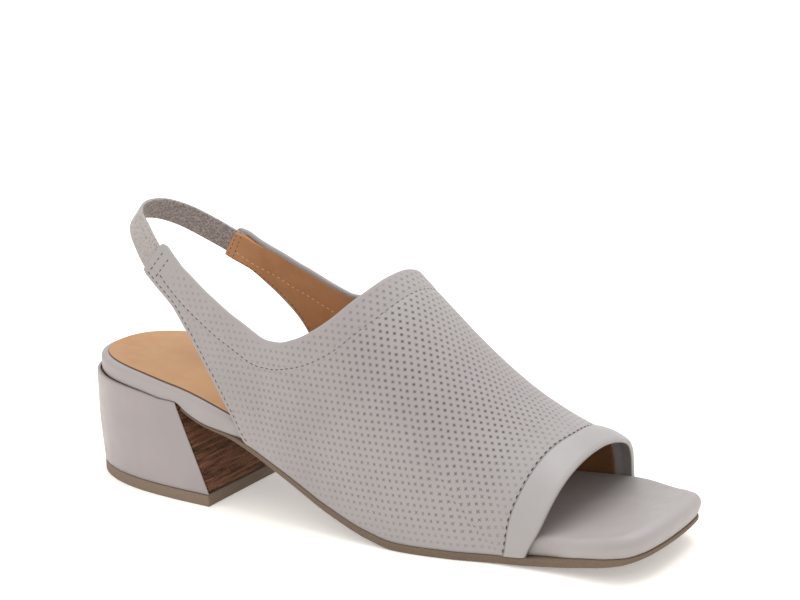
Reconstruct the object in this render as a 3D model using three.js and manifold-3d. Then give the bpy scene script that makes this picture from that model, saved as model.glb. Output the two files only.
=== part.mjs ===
// Slingback block-heel sandal, right foot, one shoe.
// Millimetres, +X from heel to toe, +Z up, the outer side of the foot at -Y.
// Lengths in the tables are shares of the named sizes below.
import * as THREE from 'three';
import Module from 'manifold-3d';

// Overall sizes
const LENGTH = 248;
const BALL_WIDTH = 84;
const SEAT_HEIGHT = 43.3;
const TOE_SPRING = 9;
const THROAT_HEIGHT = 93.5;

// Sheet and board thicknesses
const OUTSOLE_THICK = 3.6;
const BED_THICK = 6.5;
const SOCK_THICK = 0.9;
const UPPER_WALL = 1.8;
const TAB_WALL = 3.5;
const BAND_WALL = 2.2;
const BAND_STEP = 0.35;
const STRAP_THICK = 1.4;
const COVER_THICK = 1.4;
const LIFT_THICK = 4.7;

// Widths, edges and clearances
const GAP = 0.3;
const BED_CLEARANCE = 0.9;
const FEATHER_INSET = 0.2;
const SOCK_MARGIN = 3;
const SOCK_FRONT = 0.6;
const STRAP_WIDTH = 11.5;
const POCKET_DEPTH = 10;
const POCKET_CLEARANCE = 0.3;
const COVER_PROUD = 2.0;
const COVER_FLUSH = 0.75;
const BREAST_SETBACK = 0.6;
const EDGE_ROUND = 0.42;
const STRAP_CHAMFER = 0.3;
const LIFT_BEVEL = 0.5;

// Heel block
const BREAST_TOP = 50;
const LIFT_FRONT = 66.3;
const LIFT_BACK = -1.3;
const LIFT_FLARE = 0.114;

// Strap loop behind the heel
const STRAP_REACH = 25.4;
const STRAP_SLOPE_DEG = 36.5;
const STRAP_LEAN_DEG = 35;

// Mesh fineness: steps along and across each sheet, and round the other pieces
const BED_GRID = { along: 40, across: 7 };
const OUTSOLE_GRID = { along: 34, across: 4 };
const SOCK_GRID = { along: 26, across: 5 };
const UPPER_GRID = { perRow: 2, rows: 13 };
const BAND_GRID = { lines: 44, rows: 4 };
const HEEL_STEPS_PER_SIDE = 14;
const HEEL_CORE_ROWS = 5;
const STRAP_SEGMENTS = 54;

// Sole outline, a row per section: place along the shoe as a share of LENGTH, reach of the
// outer and inner edge from the centre line as shares of BALL_WIDTH.
const OUTLINE = [
  { along: 0.0000, outer: 0.000, inner: 0.000 },
  { along: 0.0030, outer: 0.095, inner: 0.095 },
  { along: 0.0135, outer: 0.168, inner: 0.168 },
  { along: 0.0310, outer: 0.228, inner: 0.228 },
  { along: 0.0580, outer: 0.283, inner: 0.283 },
  { along: 0.0950, outer: 0.322, inner: 0.321 },
  { along: 0.1450, outer: 0.341, inner: 0.340 },
  { along: 0.2100, outer: 0.346, inner: 0.345 },
  { along: 0.2800, outer: 0.352, inner: 0.349 },
  { along: 0.3500, outer: 0.372, inner: 0.354 },
  { along: 0.4200, outer: 0.403, inner: 0.372 },
  { along: 0.4900, outer: 0.430, inner: 0.401 },
  { along: 0.5600, outer: 0.455, inner: 0.436 },
  { along: 0.6300, outer: 0.466, inner: 0.478 },
  { along: 0.7000, outer: 0.443, inner: 0.520 },
  { along: 0.7650, outer: 0.402, inner: 0.553 },
  { along: 0.8150, outer: 0.388, inner: 0.556 },
  { along: 0.8550, outer: 0.381, inner: 0.525 },
  { along: 0.9000, outer: 0.377, inner: 0.438 },
  { along: 0.9450, outer: 0.376, inner: 0.346 },
  { along: 0.9710, outer: 0.353, inner: 0.297 },
  { along: 0.9880, outer: 0.278, inner: 0.245 },
  { along: 0.9965, outer: 0.150, inner: 0.120 },
  { along: 0.9985, outer: 0.030, inner: -0.030 },
];
const HEEL_CORNER_ROW = 2;
const TOE_CORNER_ROW = 20;

// Underside of the shoe: height over the floor as a share of SEAT_HEIGHT, then the rise of the
// toe as a share of TOE_SPRING. The run with neither is the flat spot under the ball.
const UNDERSIDE = [
  { along: 0.000, seat: 1.000, spring: 0 },
  { along: 0.100, seat: 0.958, spring: 0 },
  { along: 0.200, seat: 0.868, spring: 0 },
  { along: 0.300, seat: 0.666, spring: 0 },
  { along: 0.400, seat: 0.436, spring: 0 },
  { along: 0.500, seat: 0.198, spring: 0 },
  { along: 0.570, seat: 0.050, spring: 0 },
  { along: 0.617, seat: 0.000, spring: 0 },
  { along: 0.726, seat: 0.000, spring: 0 },
  { along: 0.794, seat: 0.000, spring: 0.063 },
  { along: 0.863, seat: 0.000, spring: 0.250 },
  { along: 0.931, seat: 0.000, spring: 0.563 },
  { along: 1.000, seat: 0.000, spring: 1.000 },
];

// Build-up over the underside: outsole as a share of OUTSOLE_THICK (none over the heel),
// board as a share of BED_THICK, and how far the board stands in under the upper.
const LAYERS = [
  { along: 0.000, outsole: 0.00, board: 1.06, tuck: 0.0 },
  { along: 0.165, outsole: 0.00, board: 1.03, tuck: 0.0 },
  { along: 0.205, outsole: 0.42, board: 0.82, tuck: 0.0 },
  { along: 0.300, outsole: 0.62, board: 0.86, tuck: 0.1 },
  { along: 0.345, outsole: 0.72, board: 0.90, tuck: 1.0 },
  { along: 0.500, outsole: 0.95, board: 0.97, tuck: 1.0 },
  { along: 0.600, outsole: 1.00, board: 1.00, tuck: 1.0 },
  { along: 0.830, outsole: 1.00, board: 1.00, tuck: 1.0 },
  { along: 0.885, outsole: 1.00, board: 1.00, tuck: 0.3 },
  { along: 1.000, outsole: 1.00, board: 1.00, tuck: 0.3 },
];

// Instep sections of the upper: ridge height as a share of THROAT_HEIGHT, ridge offset to the
// inner side as a share of BALL_WIDTH, and the fullness of the outer and inner flank.
const INSTEP = [
  { along: 0.08, ridge: 1.615, lean: 0.000, outer: 2.00, inner: 2.00 },
  { along: 0.16, ridge: 1.604, lean: 0.000, outer: 2.00, inner: 2.00 },
  { along: 0.24, ridge: 1.573, lean: 0.000, outer: 2.00, inner: 2.00 },
  { along: 0.32, ridge: 1.512, lean: 0.000, outer: 2.00, inner: 2.00 },
  { along: 0.40, ridge: 1.396, lean: 0.000, outer: 2.00, inner: 2.00 },
  { along: 0.48, ridge: 1.205, lean: 0.000, outer: 2.02, inner: 1.98 },
  { along: 0.56, ridge: 0.985, lean: 0.012, outer: 2.05, inner: 1.96 },
  { along: 0.61, ridge: 0.860, lean: 0.014, outer: 2.08, inner: 1.94 },
  { along: 0.65, ridge: 0.748, lean: 0.021, outer: 2.10, inner: 1.94 },
  { along: 0.69, ridge: 0.645, lean: 0.032, outer: 2.10, inner: 1.94 },
  { along: 0.74, ridge: 0.538, lean: 0.047, outer: 2.10, inner: 1.94 },
  { along: 0.79, ridge: 0.458, lean: 0.067, outer: 2.10, inner: 1.94 },
  { along: 0.84, ridge: 0.398, lean: 0.094, outer: 2.10, inner: 1.94 },
  { along: 0.88, ridge: 0.350, lean: 0.113, outer: 2.10, inner: 1.94 },
];

// Cutting pattern of the upper from the outer tab over the throat to the inner tab.
// "edge" is the collar, "rim" the opposite edge: rear of the wing, feather line, toe seam.
// "round" runs from 0 at the outer feather line over the ridge to 1 at the inner one.
const PATTERN = [
  { edge: 0.1907, edgeRound: 0.177, rim: 0.1496, rimRound: 0.141 },
  { edge: 0.2278, edgeRound: 0.160, rim: 0.1915, rimRound: 0.120 },
  { edge: 0.2702, edgeRound: 0.143, rim: 0.2371, rimRound: 0.095 },
  { edge: 0.3169, edgeRound: 0.130, rim: 0.2823, rimRound: 0.058 },
  { edge: 0.3629, edgeRound: 0.129, rim: 0.3185, rimRound: 0.024 },
  { edge: 0.3992, edgeRound: 0.140, rim: 0.3488, rimRound: 0.000 },
  { edge: 0.4315, edgeRound: 0.164, rim: 0.4234, rimRound: 0.000 },
  { edge: 0.4601, edgeRound: 0.194, rim: 0.5081, rimRound: 0.000 },
  { edge: 0.4944, edgeRound: 0.245, rim: 0.6048, rimRound: 0.000 },
  { edge: 0.5237, edgeRound: 0.312, rim: 0.6976, rimRound: 0.000 },
  { edge: 0.5360, edgeRound: 0.357, rim: 0.7845, rimRound: 0.000 },
  { edge: 0.5450, edgeRound: 0.400, rim: 0.7935, rimRound: 0.110 },
  { edge: 0.5510, edgeRound: 0.445, rim: 0.8037, rimRound: 0.220 },
  { edge: 0.5540, edgeRound: 0.490, rim: 0.8142, rimRound: 0.360 },
  { edge: 0.5555, edgeRound: 0.532, rim: 0.8238, rimRound: 0.500 },
  { edge: 0.5540, edgeRound: 0.575, rim: 0.8215, rimRound: 0.620 },
  { edge: 0.5480, edgeRound: 0.618, rim: 0.8168, rimRound: 0.740 },
  { edge: 0.5380, edgeRound: 0.660, rim: 0.8080, rimRound: 0.870 },
  { edge: 0.5230, edgeRound: 0.700, rim: 0.7965, rimRound: 1.000 },
  { edge: 0.5035, edgeRound: 0.738, rim: 0.7097, rimRound: 1.000 },
  { edge: 0.4785, edgeRound: 0.775, rim: 0.6129, rimRound: 1.000 },
  { edge: 0.4480, edgeRound: 0.808, rim: 0.5121, rimRound: 1.000 },
  { edge: 0.4153, edgeRound: 0.838, rim: 0.4234, rimRound: 1.000 },
  { edge: 0.3839, edgeRound: 0.860, rim: 0.3448, rimRound: 1.000 },
  { edge: 0.3468, edgeRound: 0.864, rim: 0.3206, rimRound: 0.960 },
  { edge: 0.3024, edgeRound: 0.859, rim: 0.2843, rimRound: 0.922 },
  { edge: 0.2581, edgeRound: 0.850, rim: 0.2379, rimRound: 0.897 },
  { edge: 0.2177, edgeRound: 0.842, rim: 0.1915, rimRound: 0.885 },
  { edge: 0.1835, edgeRound: 0.835, rim: 0.1540, rimRound: 0.874 },
];
const TOE_SEAM_FIRST_ROW = 10;
const TOE_SEAM_LAST_ROW = 18;
const WING_FOOT_OUTER_ROW = 5;
const WING_FOOT_INNER_ROW = 23;

// Front edge of the toe band, from the outer feather line to the inner one.
const BAND_FRONT = [
  { round: 0.00, along: 0.8190 },
  { round: 0.10, along: 0.8390 },
  { round: 0.20, along: 0.8487 },
  { round: 0.30, along: 0.8545 },
  { round: 0.40, along: 0.8586 },
  { round: 0.50, along: 0.8610 },
  { round: 0.60, along: 0.8620 },
  { round: 0.70, along: 0.8580 },
  { round: 0.80, along: 0.8480 },
  { round: 0.90, along: 0.8375 },
  { round: 1.00, along: 0.8325 },
];

// Wall of the upper between UPPER_WALL (0) and TAB_WALL (1), where the strap enters.
const WALL = [
  { along: 0.10, thick: 1 },
  { along: 0.20, thick: 1 },
  { along: 0.25, thick: 0 },
  { along: 0.90, thick: 0 },
];

// Strap loop from the outer tab to the inner one: reach behind the tabs as a share of
// STRAP_REACH, and place across, from -1 at the outer tab to 1 at the inner tab.
const STRAP = [
  { reach: 0.42, side: -0.91 },
  { reach: 0.77, side: -0.64 },
  { reach: 0.95, side: -0.31 },
  { reach: 1.00, side: 0.00 },
  { reach: 0.95, side: 0.31 },
  { reach: 0.77, side: 0.64 },
  { reach: 0.42, side: 0.91 },
];

// Edge profiles, bottom to top: "out" moves the edge outward, "rise" is a share of the thickness.
const BED_EDGE = [
  { out: -1.1, rise: 0.00 },
  { out: -0.3, rise: 0.14 },
  { out: 0.0, rise: 0.36 },
  { out: 0.0, rise: 0.58 },
  { out: -0.5, rise: 0.80 },
  { out: -1.5, rise: 0.95 },
  { out: -2.9, rise: 1.00 },
];
const OUTSOLE_EDGE = [
  { out: -0.5, rise: 0.00 },
  { out: 0.0, rise: 0.18 },
  { out: 0.0, rise: 0.85 },
  { out: -0.3, rise: 1.00 },
];
// Heel cover from the lift to the board: the upper edge is turned in by a share of its thickness.
const COVER_EDGE = [
  { height: 0.00, turn: 0.00 },
  { height: 0.30, turn: 0.00 },
  { height: 0.60, turn: 0.00 },
  { height: 0.88, turn: 0.00 },
  { height: 0.95, turn: 0.15 },
  { height: 1.00, turn: 0.60 },
];
const SOCK_EDGE = [
  { out: -0.2, rise: 0.00 },
  { out: 0.0, rise: 0.40 },
  { out: -0.5, rise: 1.00 },
];

// Smooth curve through the rows of a table that never swings past a row.
function curve(rows, key, column) {
  const xs = rows.map((row, index) => (key ? row[key] : index));
  const ys = rows.map((row) => row[column]);
  const count = xs.length;
  const slopes = [];
  for (let i = 0; i < count - 1; i += 1) {
    slopes.push((ys[i + 1] - ys[i]) / (xs[i + 1] - xs[i]));
  }
  const tangents = [slopes[0]];
  for (let i = 1; i < count - 1; i += 1) {
    const before = slopes[i - 1];
    const after = slopes[i];
    if (before * after <= 0) {
      tangents.push(0);
      continue;
    }
    const first = 2 * (xs[i + 1] - xs[i]) + (xs[i] - xs[i - 1]);
    const second = (xs[i + 1] - xs[i]) + 2 * (xs[i] - xs[i - 1]);
    tangents.push((first + second) / (first / before + second / after));
  }
  tangents.push(slopes[count - 2]);
  return (x) => {
    const held = Math.min(Math.max(x, xs[0]), xs[count - 1]);
    let i = 0;
    while (i < count - 2 && held > xs[i + 1]) i += 1;
    const width = xs[i + 1] - xs[i];
    const t = (held - xs[i]) / width;
    const start = ys[i] * (1 + 2 * t) * (1 - t) ** 2;
    const end = ys[i + 1] * t * t * (3 - 2 * t);
    const leave = tangents[i] * width * t * (1 - t) ** 2;
    const arrive = tangents[i + 1] * width * t * t * (t - 1);
    return start + end + leave + arrive;
  };
}

function mix(a, b, t) {
  return a + (b - a) * t;
}

// Heights through the shoe at a distance x from the back
const seatShare = curve(UNDERSIDE, 'along', 'seat');
const springShare = curve(UNDERSIDE, 'along', 'spring');
const outsoleShare = curve(LAYERS, 'along', 'outsole');
const boardShare = curve(LAYERS, 'along', 'board');
const tuckShare = curve(LAYERS, 'along', 'tuck');

function underside(x) {
  return SEAT_HEIGHT * seatShare(x / LENGTH) + TOE_SPRING * springShare(x / LENGTH);
}

function outsoleTop(x) {
  return underside(x) + OUTSOLE_THICK * outsoleShare(x / LENGTH);
}

function bedUnder(x) {
  return outsoleTop(x) + GAP;
}

function bedTop(x) {
  return bedUnder(x) + BED_THICK * boardShare(x / LENGTH);
}

function bedTuck(x) {
  return (UPPER_WALL + BED_CLEARANCE) * tuckShare(x / LENGTH);
}

// Sole outline as one dense closed path, with the places of its corner rows
function outlinePath() {
  const outer = OUTLINE.map((row) => [row.along * LENGTH, -row.outer * BALL_WIDTH]);
  const inner = OUTLINE.map((row) => [row.along * LENGTH, row.inner * BALL_WIDTH]);
  const ring = [...outer, ...inner.slice(1, -1).reverse()];
  const points = ring.map(([x, y]) => new THREE.Vector3(x, y, 0));
  const path = new THREE.CatmullRomCurve3(points, true, 'centripetal');
  const rows = ring.length;
  const perRow = 16;
  const at = (row) => path.getPoint((((row % rows) + rows) % rows) / rows);
  return { rows, perRow, at };
}
const outline = outlinePath();

// Points evenly spaced along the outline between two row places, with outward directions
function run(fromRow, toRow, count) {
  const steps = Math.max(8, Math.ceil(Math.abs(toRow - fromRow) * outline.perRow));
  const places = [];
  const lengths = [0];
  for (let i = 0; i <= steps; i += 1) {
    places.push(mix(fromRow, toRow, i / steps));
    if (i > 0) {
      const previous = outline.at(places[i - 1]);
      lengths.push(lengths[i - 1] + outline.at(places[i]).distanceTo(previous));
    }
  }
  const points = [];
  for (let k = 0; k <= count; k += 1) {
    const wanted = (lengths[steps] * k) / count;
    let i = 0;
    while (i < steps - 1 && lengths[i + 1] < wanted) i += 1;
    const part = (wanted - lengths[i]) / (lengths[i + 1] - lengths[i]);
    const place = mix(places[i], places[i + 1], part);
    const ahead = outline.at(place + 0.02);
    const behind = outline.at(place - 0.02);
    const along = ahead.sub(behind).normalize();
    const point = outline.at(place);
    points.push({ x: point.x, y: point.y, outX: along.y, outY: -along.x });
  }
  return points;
}

// Row place at which one side of the outline passes the distance x
function rowAt(x, side) {
  let low = side < 0 ? 1 : OUTLINE.length;
  let high = side < 0 ? OUTLINE.length - 2 : outline.rows - 1;
  for (let i = 0; i < 40; i += 1) {
    const middle = (low + high) / 2;
    const short = outline.at(middle).x < x;
    if (short === (side < 0)) low = middle;
    else high = middle;
  }
  return (low + high) / 2;
}

// Four-sided patch over the outline: both sides, the back edge and the front edge
function plan(fromX, toX, { along, across }) {
  const outerFrom = fromX === null ? HEEL_CORNER_ROW : rowAt(fromX, -1);
  const outerTo = toX === null ? TOE_CORNER_ROW : rowAt(toX, -1);
  const innerFrom = fromX === null ? outline.rows - HEEL_CORNER_ROW : rowAt(fromX, 1);
  const innerTo = toX === null ? outline.rows - TOE_CORNER_ROW : rowAt(toX, 1);
  const outer = run(outerFrom, outerTo, along);
  const inner = run(innerTo, innerFrom, along).reverse();
  const straight = (a, b, outX) => {
    const points = [];
    for (let k = 0; k <= across; k += 1) {
      const t = k / across;
      points.push({ x: mix(a.x, b.x, t), y: mix(a.y, b.y, t), outX, outY: 0 });
    }
    return points;
  };
  const back = fromX === null
    ? run(innerFrom, outline.rows + HEEL_CORNER_ROW, across).reverse()
    : straight(outer[0], inner[0], -1);
  const front = toX === null
    ? run(outerTo, innerTo, across)
    : straight(outer[along], inner[along], 1);
  return { outer, inner, back, front, along, across };
}

function moved(point, distance) {
  return { x: point.x + point.outX * distance, y: point.y + point.outY * distance };
}

// Closed sheet: edge profile round the patch, filled faces above and below
function plate(patch, edge, inset, under, over) {
  const { outer, inner, back, front, along, across } = patch;
  const positions = [];
  const triangles = [];
  const add = (x, y, z) => {
    positions.push(x, y, z);
    return positions.length / 3 - 1;
  };
  const loop = [
    ...outer,
    ...front.slice(1, -1),
    ...[...inner].reverse(),
    ...[...back].reverse().slice(1, -1),
  ];
  const place = (point, row) => {
    const spot = moved(point, row.out - inset(point.x));
    return [spot.x, spot.y, mix(under(spot.x), over(spot.x), row.rise)];
  };
  const rings = edge.map((row) => loop.map((point) => add(...place(point, row))));
  for (let r = 0; r < rings.length - 1; r += 1) {
    for (let i = 0; i < loop.length; i += 1) {
      const n = (i + 1) % loop.length;
      triangles.push(rings[r][i], rings[r][n], rings[r + 1][n]);
      triangles.push(rings[r][i], rings[r + 1][n], rings[r + 1][i]);
    }
  }
  const face = (row, ring, up) => {
    const at = (point) => moved(point, row.out - inset(point.x));
    const a = outer.map(at);
    const b = inner.map(at);
    const c = back.map(at);
    const d = front.map(at);
    const grid = [];
    for (let i = 0; i <= along; i += 1) {
      const line = [];
      for (let k = 0; k <= across; k += 1) {
        if (k === 0) line.push(ring[i]);
        else if (k === across) line.push(ring[2 * along + across - i]);
        else if (i === along) line.push(ring[along + k]);
        else if (i === 0) line.push(ring[loop.length - k]);
        else {
          const s = i / along;
          const t = k / across;
          const spot = {};
          for (const axis of ['x', 'y']) {
            const sides = mix(a[i][axis], b[i][axis], t);
            const ends = mix(c[k][axis], d[k][axis], s);
            const starts = mix(a[0][axis], b[0][axis], t);
            const stops = mix(a[along][axis], b[along][axis], t);
            spot[axis] = sides + ends - mix(starts, stops, s);
          }
          line.push(add(spot.x, spot.y, mix(under(spot.x), over(spot.x), row.rise)));
        }
      }
      grid.push(line);
    }
    for (let i = 0; i < along; i += 1) {
      for (let k = 0; k < across; k += 1) {
        const p = grid[i][k];
        const q = grid[i + 1][k];
        const r = grid[i + 1][k + 1];
        const s = grid[i][k + 1];
        if (up) triangles.push(p, q, r, p, r, s);
        else triangles.push(p, r, q, p, s, r);
      }
    }
  };
  face(edge[0], rings[0], false);
  face(edge[edge.length - 1], rings[rings.length - 1], true);
  return { positions, triangles };
}

// Closed shell from a grid of outer points and the matching grid of inner points.
// "swell" gives the round of each border point as a vector from the middle of the wall.
function shell(outerGrid, innerGrid, swell) {
  const lines = outerGrid.length - 1;
  const rows = outerGrid[0].length - 1;
  const positions = [];
  const triangles = [];
  const add = (point) => {
    positions.push(point.x, point.y, point.z);
    return positions.length / 3 - 1;
  };
  const outer = outerGrid.map((line) => line.map(add));
  const inner = innerGrid.map((line) => line.map(add));
  for (let i = 0; i < lines; i += 1) {
    for (let j = 0; j < rows; j += 1) {
      const p = outer[i][j];
      const q = outer[i + 1][j];
      const r = outer[i + 1][j + 1];
      const s = outer[i][j + 1];
      triangles.push(p, s, r, p, r, q);
      const a = inner[i][j];
      const b = inner[i + 1][j];
      const c = inner[i + 1][j + 1];
      const d = inner[i][j + 1];
      triangles.push(a, c, d, a, b, c);
    }
  }
  const border = [];
  for (let i = 0; i < lines; i += 1) border.push([i, 0]);
  for (let j = 0; j < rows; j += 1) border.push([lines, j]);
  for (let i = lines; i > 0; i -= 1) border.push([i, rows]);
  for (let j = rows; j > 0; j -= 1) border.push([0, j]);
  const ridge = border.map(([i, j]) => {
    const centre = outerGrid[i][j].clone().add(innerGrid[i][j]).multiplyScalar(0.5);
    return add(centre.add(swell(i, j)));
  });
  for (let n = 0; n < border.length; n += 1) {
    const m = (n + 1) % border.length;
    const [i, j] = border[n];
    const [k, l] = border[m];
    triangles.push(outer[i][j], outer[k][l], ridge[m], outer[i][j], ridge[m], ridge[n]);
    triangles.push(ridge[n], ridge[m], inner[k][l], ridge[n], inner[k][l], inner[i][j]);
  }
  return { positions, triangles };
}

// Outer surface of the upper over the last
const ridgeShare = curve(INSTEP, 'along', 'ridge');
const leanShare = curve(INSTEP, 'along', 'lean');
const outerFullness = curve(INSTEP, 'along', 'outer');
const innerFullness = curve(INSTEP, 'along', 'inner');
const outerReach = curve(OUTLINE, 'along', 'outer');
const innerReach = curve(OUTLINE, 'along', 'inner');
const wallShare = curve(WALL, 'along', 'thick');

function lastPoint(along, round) {
  const outerSide = round <= 0.5;
  const angle = Math.PI * (outerSide ? round : 1 - round);
  const power = 2 / (outerSide ? outerFullness(along) : innerFullness(along));
  const spread = Math.max(Math.cos(angle), 0) ** power;
  const climb = Math.max(Math.sin(angle), 0) ** power;
  const middle = BALL_WIDTH * leanShare(along);
  const reach = outerSide
    ? BALL_WIDTH * outerReach(along) + middle
    : BALL_WIDTH * innerReach(along) - middle;
  const foot = bedUnder(along * LENGTH);
  const y = middle + (outerSide ? -1 : 1) * (reach - FEATHER_INSET) * spread;
  const z = foot + (THROAT_HEIGHT * ridgeShare(along) - foot) * climb;
  return new THREE.Vector3(along * LENGTH, y, z);
}

// Inward direction of the wall, kept level at the feather line
function inward(along, round) {
  const step = 0.004;
  const held = Math.min(Math.max(round, 0.002), 0.998);
  const across = lastPoint(along, Math.min(held + step, 1))
    .sub(lastPoint(along, Math.max(held - step, 0)));
  const forward = lastPoint(along + step, held).sub(lastPoint(along - step, held));
  const direction = across.cross(forward).normalize();
  if (round < 0.002 || round > 0.998) {
    direction.z = 0;
    direction.normalize();
  }
  return direction;
}

function skin(along, round, depth) {
  return lastPoint(along, round).addScaledVector(inward(along, round), depth);
}

// Place on the cutting pattern: "line" counts pattern rows, "cut" runs from collar to rim
const edgeAlong = curve(PATTERN, null, 'edge');
const edgeRound = curve(PATTERN, null, 'edgeRound');
const rimAlong = curve(PATTERN, null, 'rim');
const rimRound = curve(PATTERN, null, 'rimRound');

function cut(line, share) {
  return {
    along: mix(edgeAlong(line), rimAlong(line), share),
    round: mix(edgeRound(line), rimRound(line), share),
  };
}

function wallAt(along) {
  return mix(UPPER_WALL, TAB_WALL, wallShare(along));
}

function upperPoint(line, share, depthShare) {
  const { along, round } = cut(line, share);
  return skin(along, round, wallAt(along) * depthShare);
}

function upperShell() {
  const { perRow, rows } = UPPER_GRID;
  const lines = (PATTERN.length - 1) * perRow;
  const outerGrid = [];
  const innerGrid = [];
  for (let i = 0; i <= lines; i += 1) {
    const outerLine = [];
    const innerLine = [];
    for (let j = 0; j <= rows; j += 1) {
      outerLine.push(upperPoint(i / perRow, j / rows, 0));
      innerLine.push(upperPoint(i / perRow, j / rows, 1));
    }
    outerGrid.push(outerLine);
    innerGrid.push(innerLine);
  }
  const swell = (i, j) => {
    const line = i / perRow;
    const still = new THREE.Vector3();
    const onRim = j === rows;
    const free = line < WING_FOOT_OUTER_ROW || line > WING_FOOT_INNER_ROW;
    if (i === 0 || i === lines) return still;
    if (onRim && !free) return still;
    const next = onRim ? rows - 1 : 1;
    return outerGrid[i][j].clone().sub(outerGrid[i][next])
      .normalize()
      .multiplyScalar(UPPER_WALL * EDGE_ROUND);
  };
  return shell(outerGrid, innerGrid, swell);
}

// Toe band between the toe seam and the opening, a step proud of the upper
function toeBand() {
  const front = curve(BAND_FRONT, 'round', 'along');
  const { lines, rows } = BAND_GRID;
  const outerGrid = [];
  const innerGrid = [];
  for (let i = 0; i <= lines; i += 1) {
    const line = mix(TOE_SEAM_FIRST_ROW, TOE_SEAM_LAST_ROW, i / lines);
    const outerLine = [];
    const innerLine = [];
    const round = rimRound(line);
    const seam = rimAlong(line) + GAP / LENGTH;
    for (let j = 0; j <= rows; j += 1) {
      const along = mix(seam, front(round), j / rows);
      outerLine.push(skin(along, round, -BAND_STEP));
      innerLine.push(skin(along, round, BAND_WALL - BAND_STEP));
    }
    outerGrid.push(outerLine);
    innerGrid.push(innerLine);
  }
  const swell = (i, j) => {
    if (j !== rows || i === 0 || i === lines) return new THREE.Vector3();
    return outerGrid[i][rows].clone().sub(outerGrid[i][rows - 1])
      .normalize()
      .multiplyScalar(BAND_WALL * EDGE_ROUND);
  };
  return shell(outerGrid, innerGrid, swell);
}

// Strap: a flat band swept along its middle line, its ends inside the tabs
function strapStations() {
  const last = PATTERN.length - 1;
  const tabOuter = upperPoint(0, 0.5, 0.5);
  const tabInner = upperPoint(last, 0.5, 0.5);
  const slope = THREE.MathUtils.degToRad(STRAP_SLOPE_DEG);
  const tilt = THREE.MathUtils.degToRad(STRAP_LEAN_DEG);
  const upAndBack = new THREE.Vector3(-Math.cos(slope), 0, Math.sin(slope));
  const lean = new THREE.Vector3(Math.sin(tilt), 0, Math.cos(tilt));
  const inTab = (line) => ({
    centre: upperPoint(line, 0.5, 0.5),
    width: upperPoint(line, 0, 0.5).sub(upperPoint(line, 1, 0.5)).normalize(),
  });
  const lineDepth = POCKET_DEPTH / upperPoint(0, 0.5, 0.5).distanceTo(upperPoint(1, 0.5, 0.5));
  const knots = [inTab(lineDepth), inTab(lineDepth / 2), inTab(0)];
  for (const row of STRAP) {
    const centre = tabOuter.clone().lerp(tabInner, (row.side + 1) / 2);
    centre.addScaledVector(upAndBack, STRAP_REACH * row.reach);
    knots.push({ centre, width: lean });
  }
  knots.push(inTab(last), inTab(last - lineDepth / 2), inTab(last - lineDepth));
  return knots;
}

function strapBody(knots, width, thick) {
  const segments = STRAP_SEGMENTS;
  const middle = new THREE.CatmullRomCurve3(knots.map((knot) => knot.centre), false, 'centripetal');
  const widths = new THREE.CatmullRomCurve3(knots.map((knot) => knot.width), false, 'centripetal');
  const chamfer = thick * STRAP_CHAMFER;
  const section = [
    [-width / 2, 0],
    [-width / 2 + chamfer, thick / 2],
    [width / 2 - chamfer, thick / 2],
    [width / 2, 0],
    [width / 2 - chamfer, -thick / 2],
    [-width / 2 + chamfer, -thick / 2],
  ];
  const positions = [];
  const triangles = [];
  const count = section.length;
  for (let i = 0; i <= segments; i += 1) {
    const t = i / segments;
    const centre = middle.getPoint(t);
    const tangent = middle.getTangent(t);
    const across = widths.getPoint(t);
    across.addScaledVector(tangent, -across.dot(tangent)).normalize();
    const through = tangent.clone().cross(across);
    for (const [w, n] of section) {
      const point = centre.clone().addScaledVector(across, w).addScaledVector(through, n);
      positions.push(point.x, point.y, point.z);
    }
  }
  for (let i = 0; i < segments; i += 1) {
    for (let k = 0; k < count; k += 1) {
      const n = (k + 1) % count;
      const a = i * count + k;
      const b = i * count + n;
      const c = (i + 1) * count + n;
      const d = (i + 1) * count + k;
      triangles.push(a, c, b, a, d, c);
    }
  }
  const end = segments * count;
  for (let k = 1; k < count - 1; k += 1) {
    triangles.push(0, k, k + 1);
    triangles.push(end, end + k + 1, end + k);
  }
  return { positions, triangles };
}

// Heel: places round the block from the outer breast edge over the back to the inner one,
// each with its foot on the lift and its head under the board
function heelPlaces() {
  const fromRow = rowAt(BREAST_TOP, -1);
  const toRow = rowAt(BREAST_TOP, 1) - outline.rows;
  return run(toRow, fromRow, 2 * HEEL_STEPS_PER_SIDE).reverse();
}

function heelPoint(place, height, inset) {
  const share = place.x / BREAST_TOP;
  const top = moved(place, COVER_PROUD * (1 - COVER_FLUSH * share) - inset);
  const foot = {
    x: mix(LIFT_BACK, LIFT_FRONT, share),
    y: place.y * (1 + LIFT_FLARE * share),
  };
  const bottom = {
    x: foot.x - place.outX * inset,
    y: foot.y - place.outY * inset,
  };
  const x = mix(bottom.x, top.x, height);
  const y = mix(bottom.y, top.y, height);
  const roof = bedUnder(top.x) - GAP;
  return new THREE.Vector3(x, y, mix(LIFT_THICK + GAP, roof, height));
}

function heelCover() {
  const places = heelPlaces();
  const grid = (inset, turned) => places.map((place) => (
    COVER_EDGE.map((row) => heelPoint(place, row.height, inset + row.turn * turned))
  ));
  return shell(grid(0, COVER_THICK), grid(COVER_THICK, 0), () => new THREE.Vector3());
}

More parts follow.
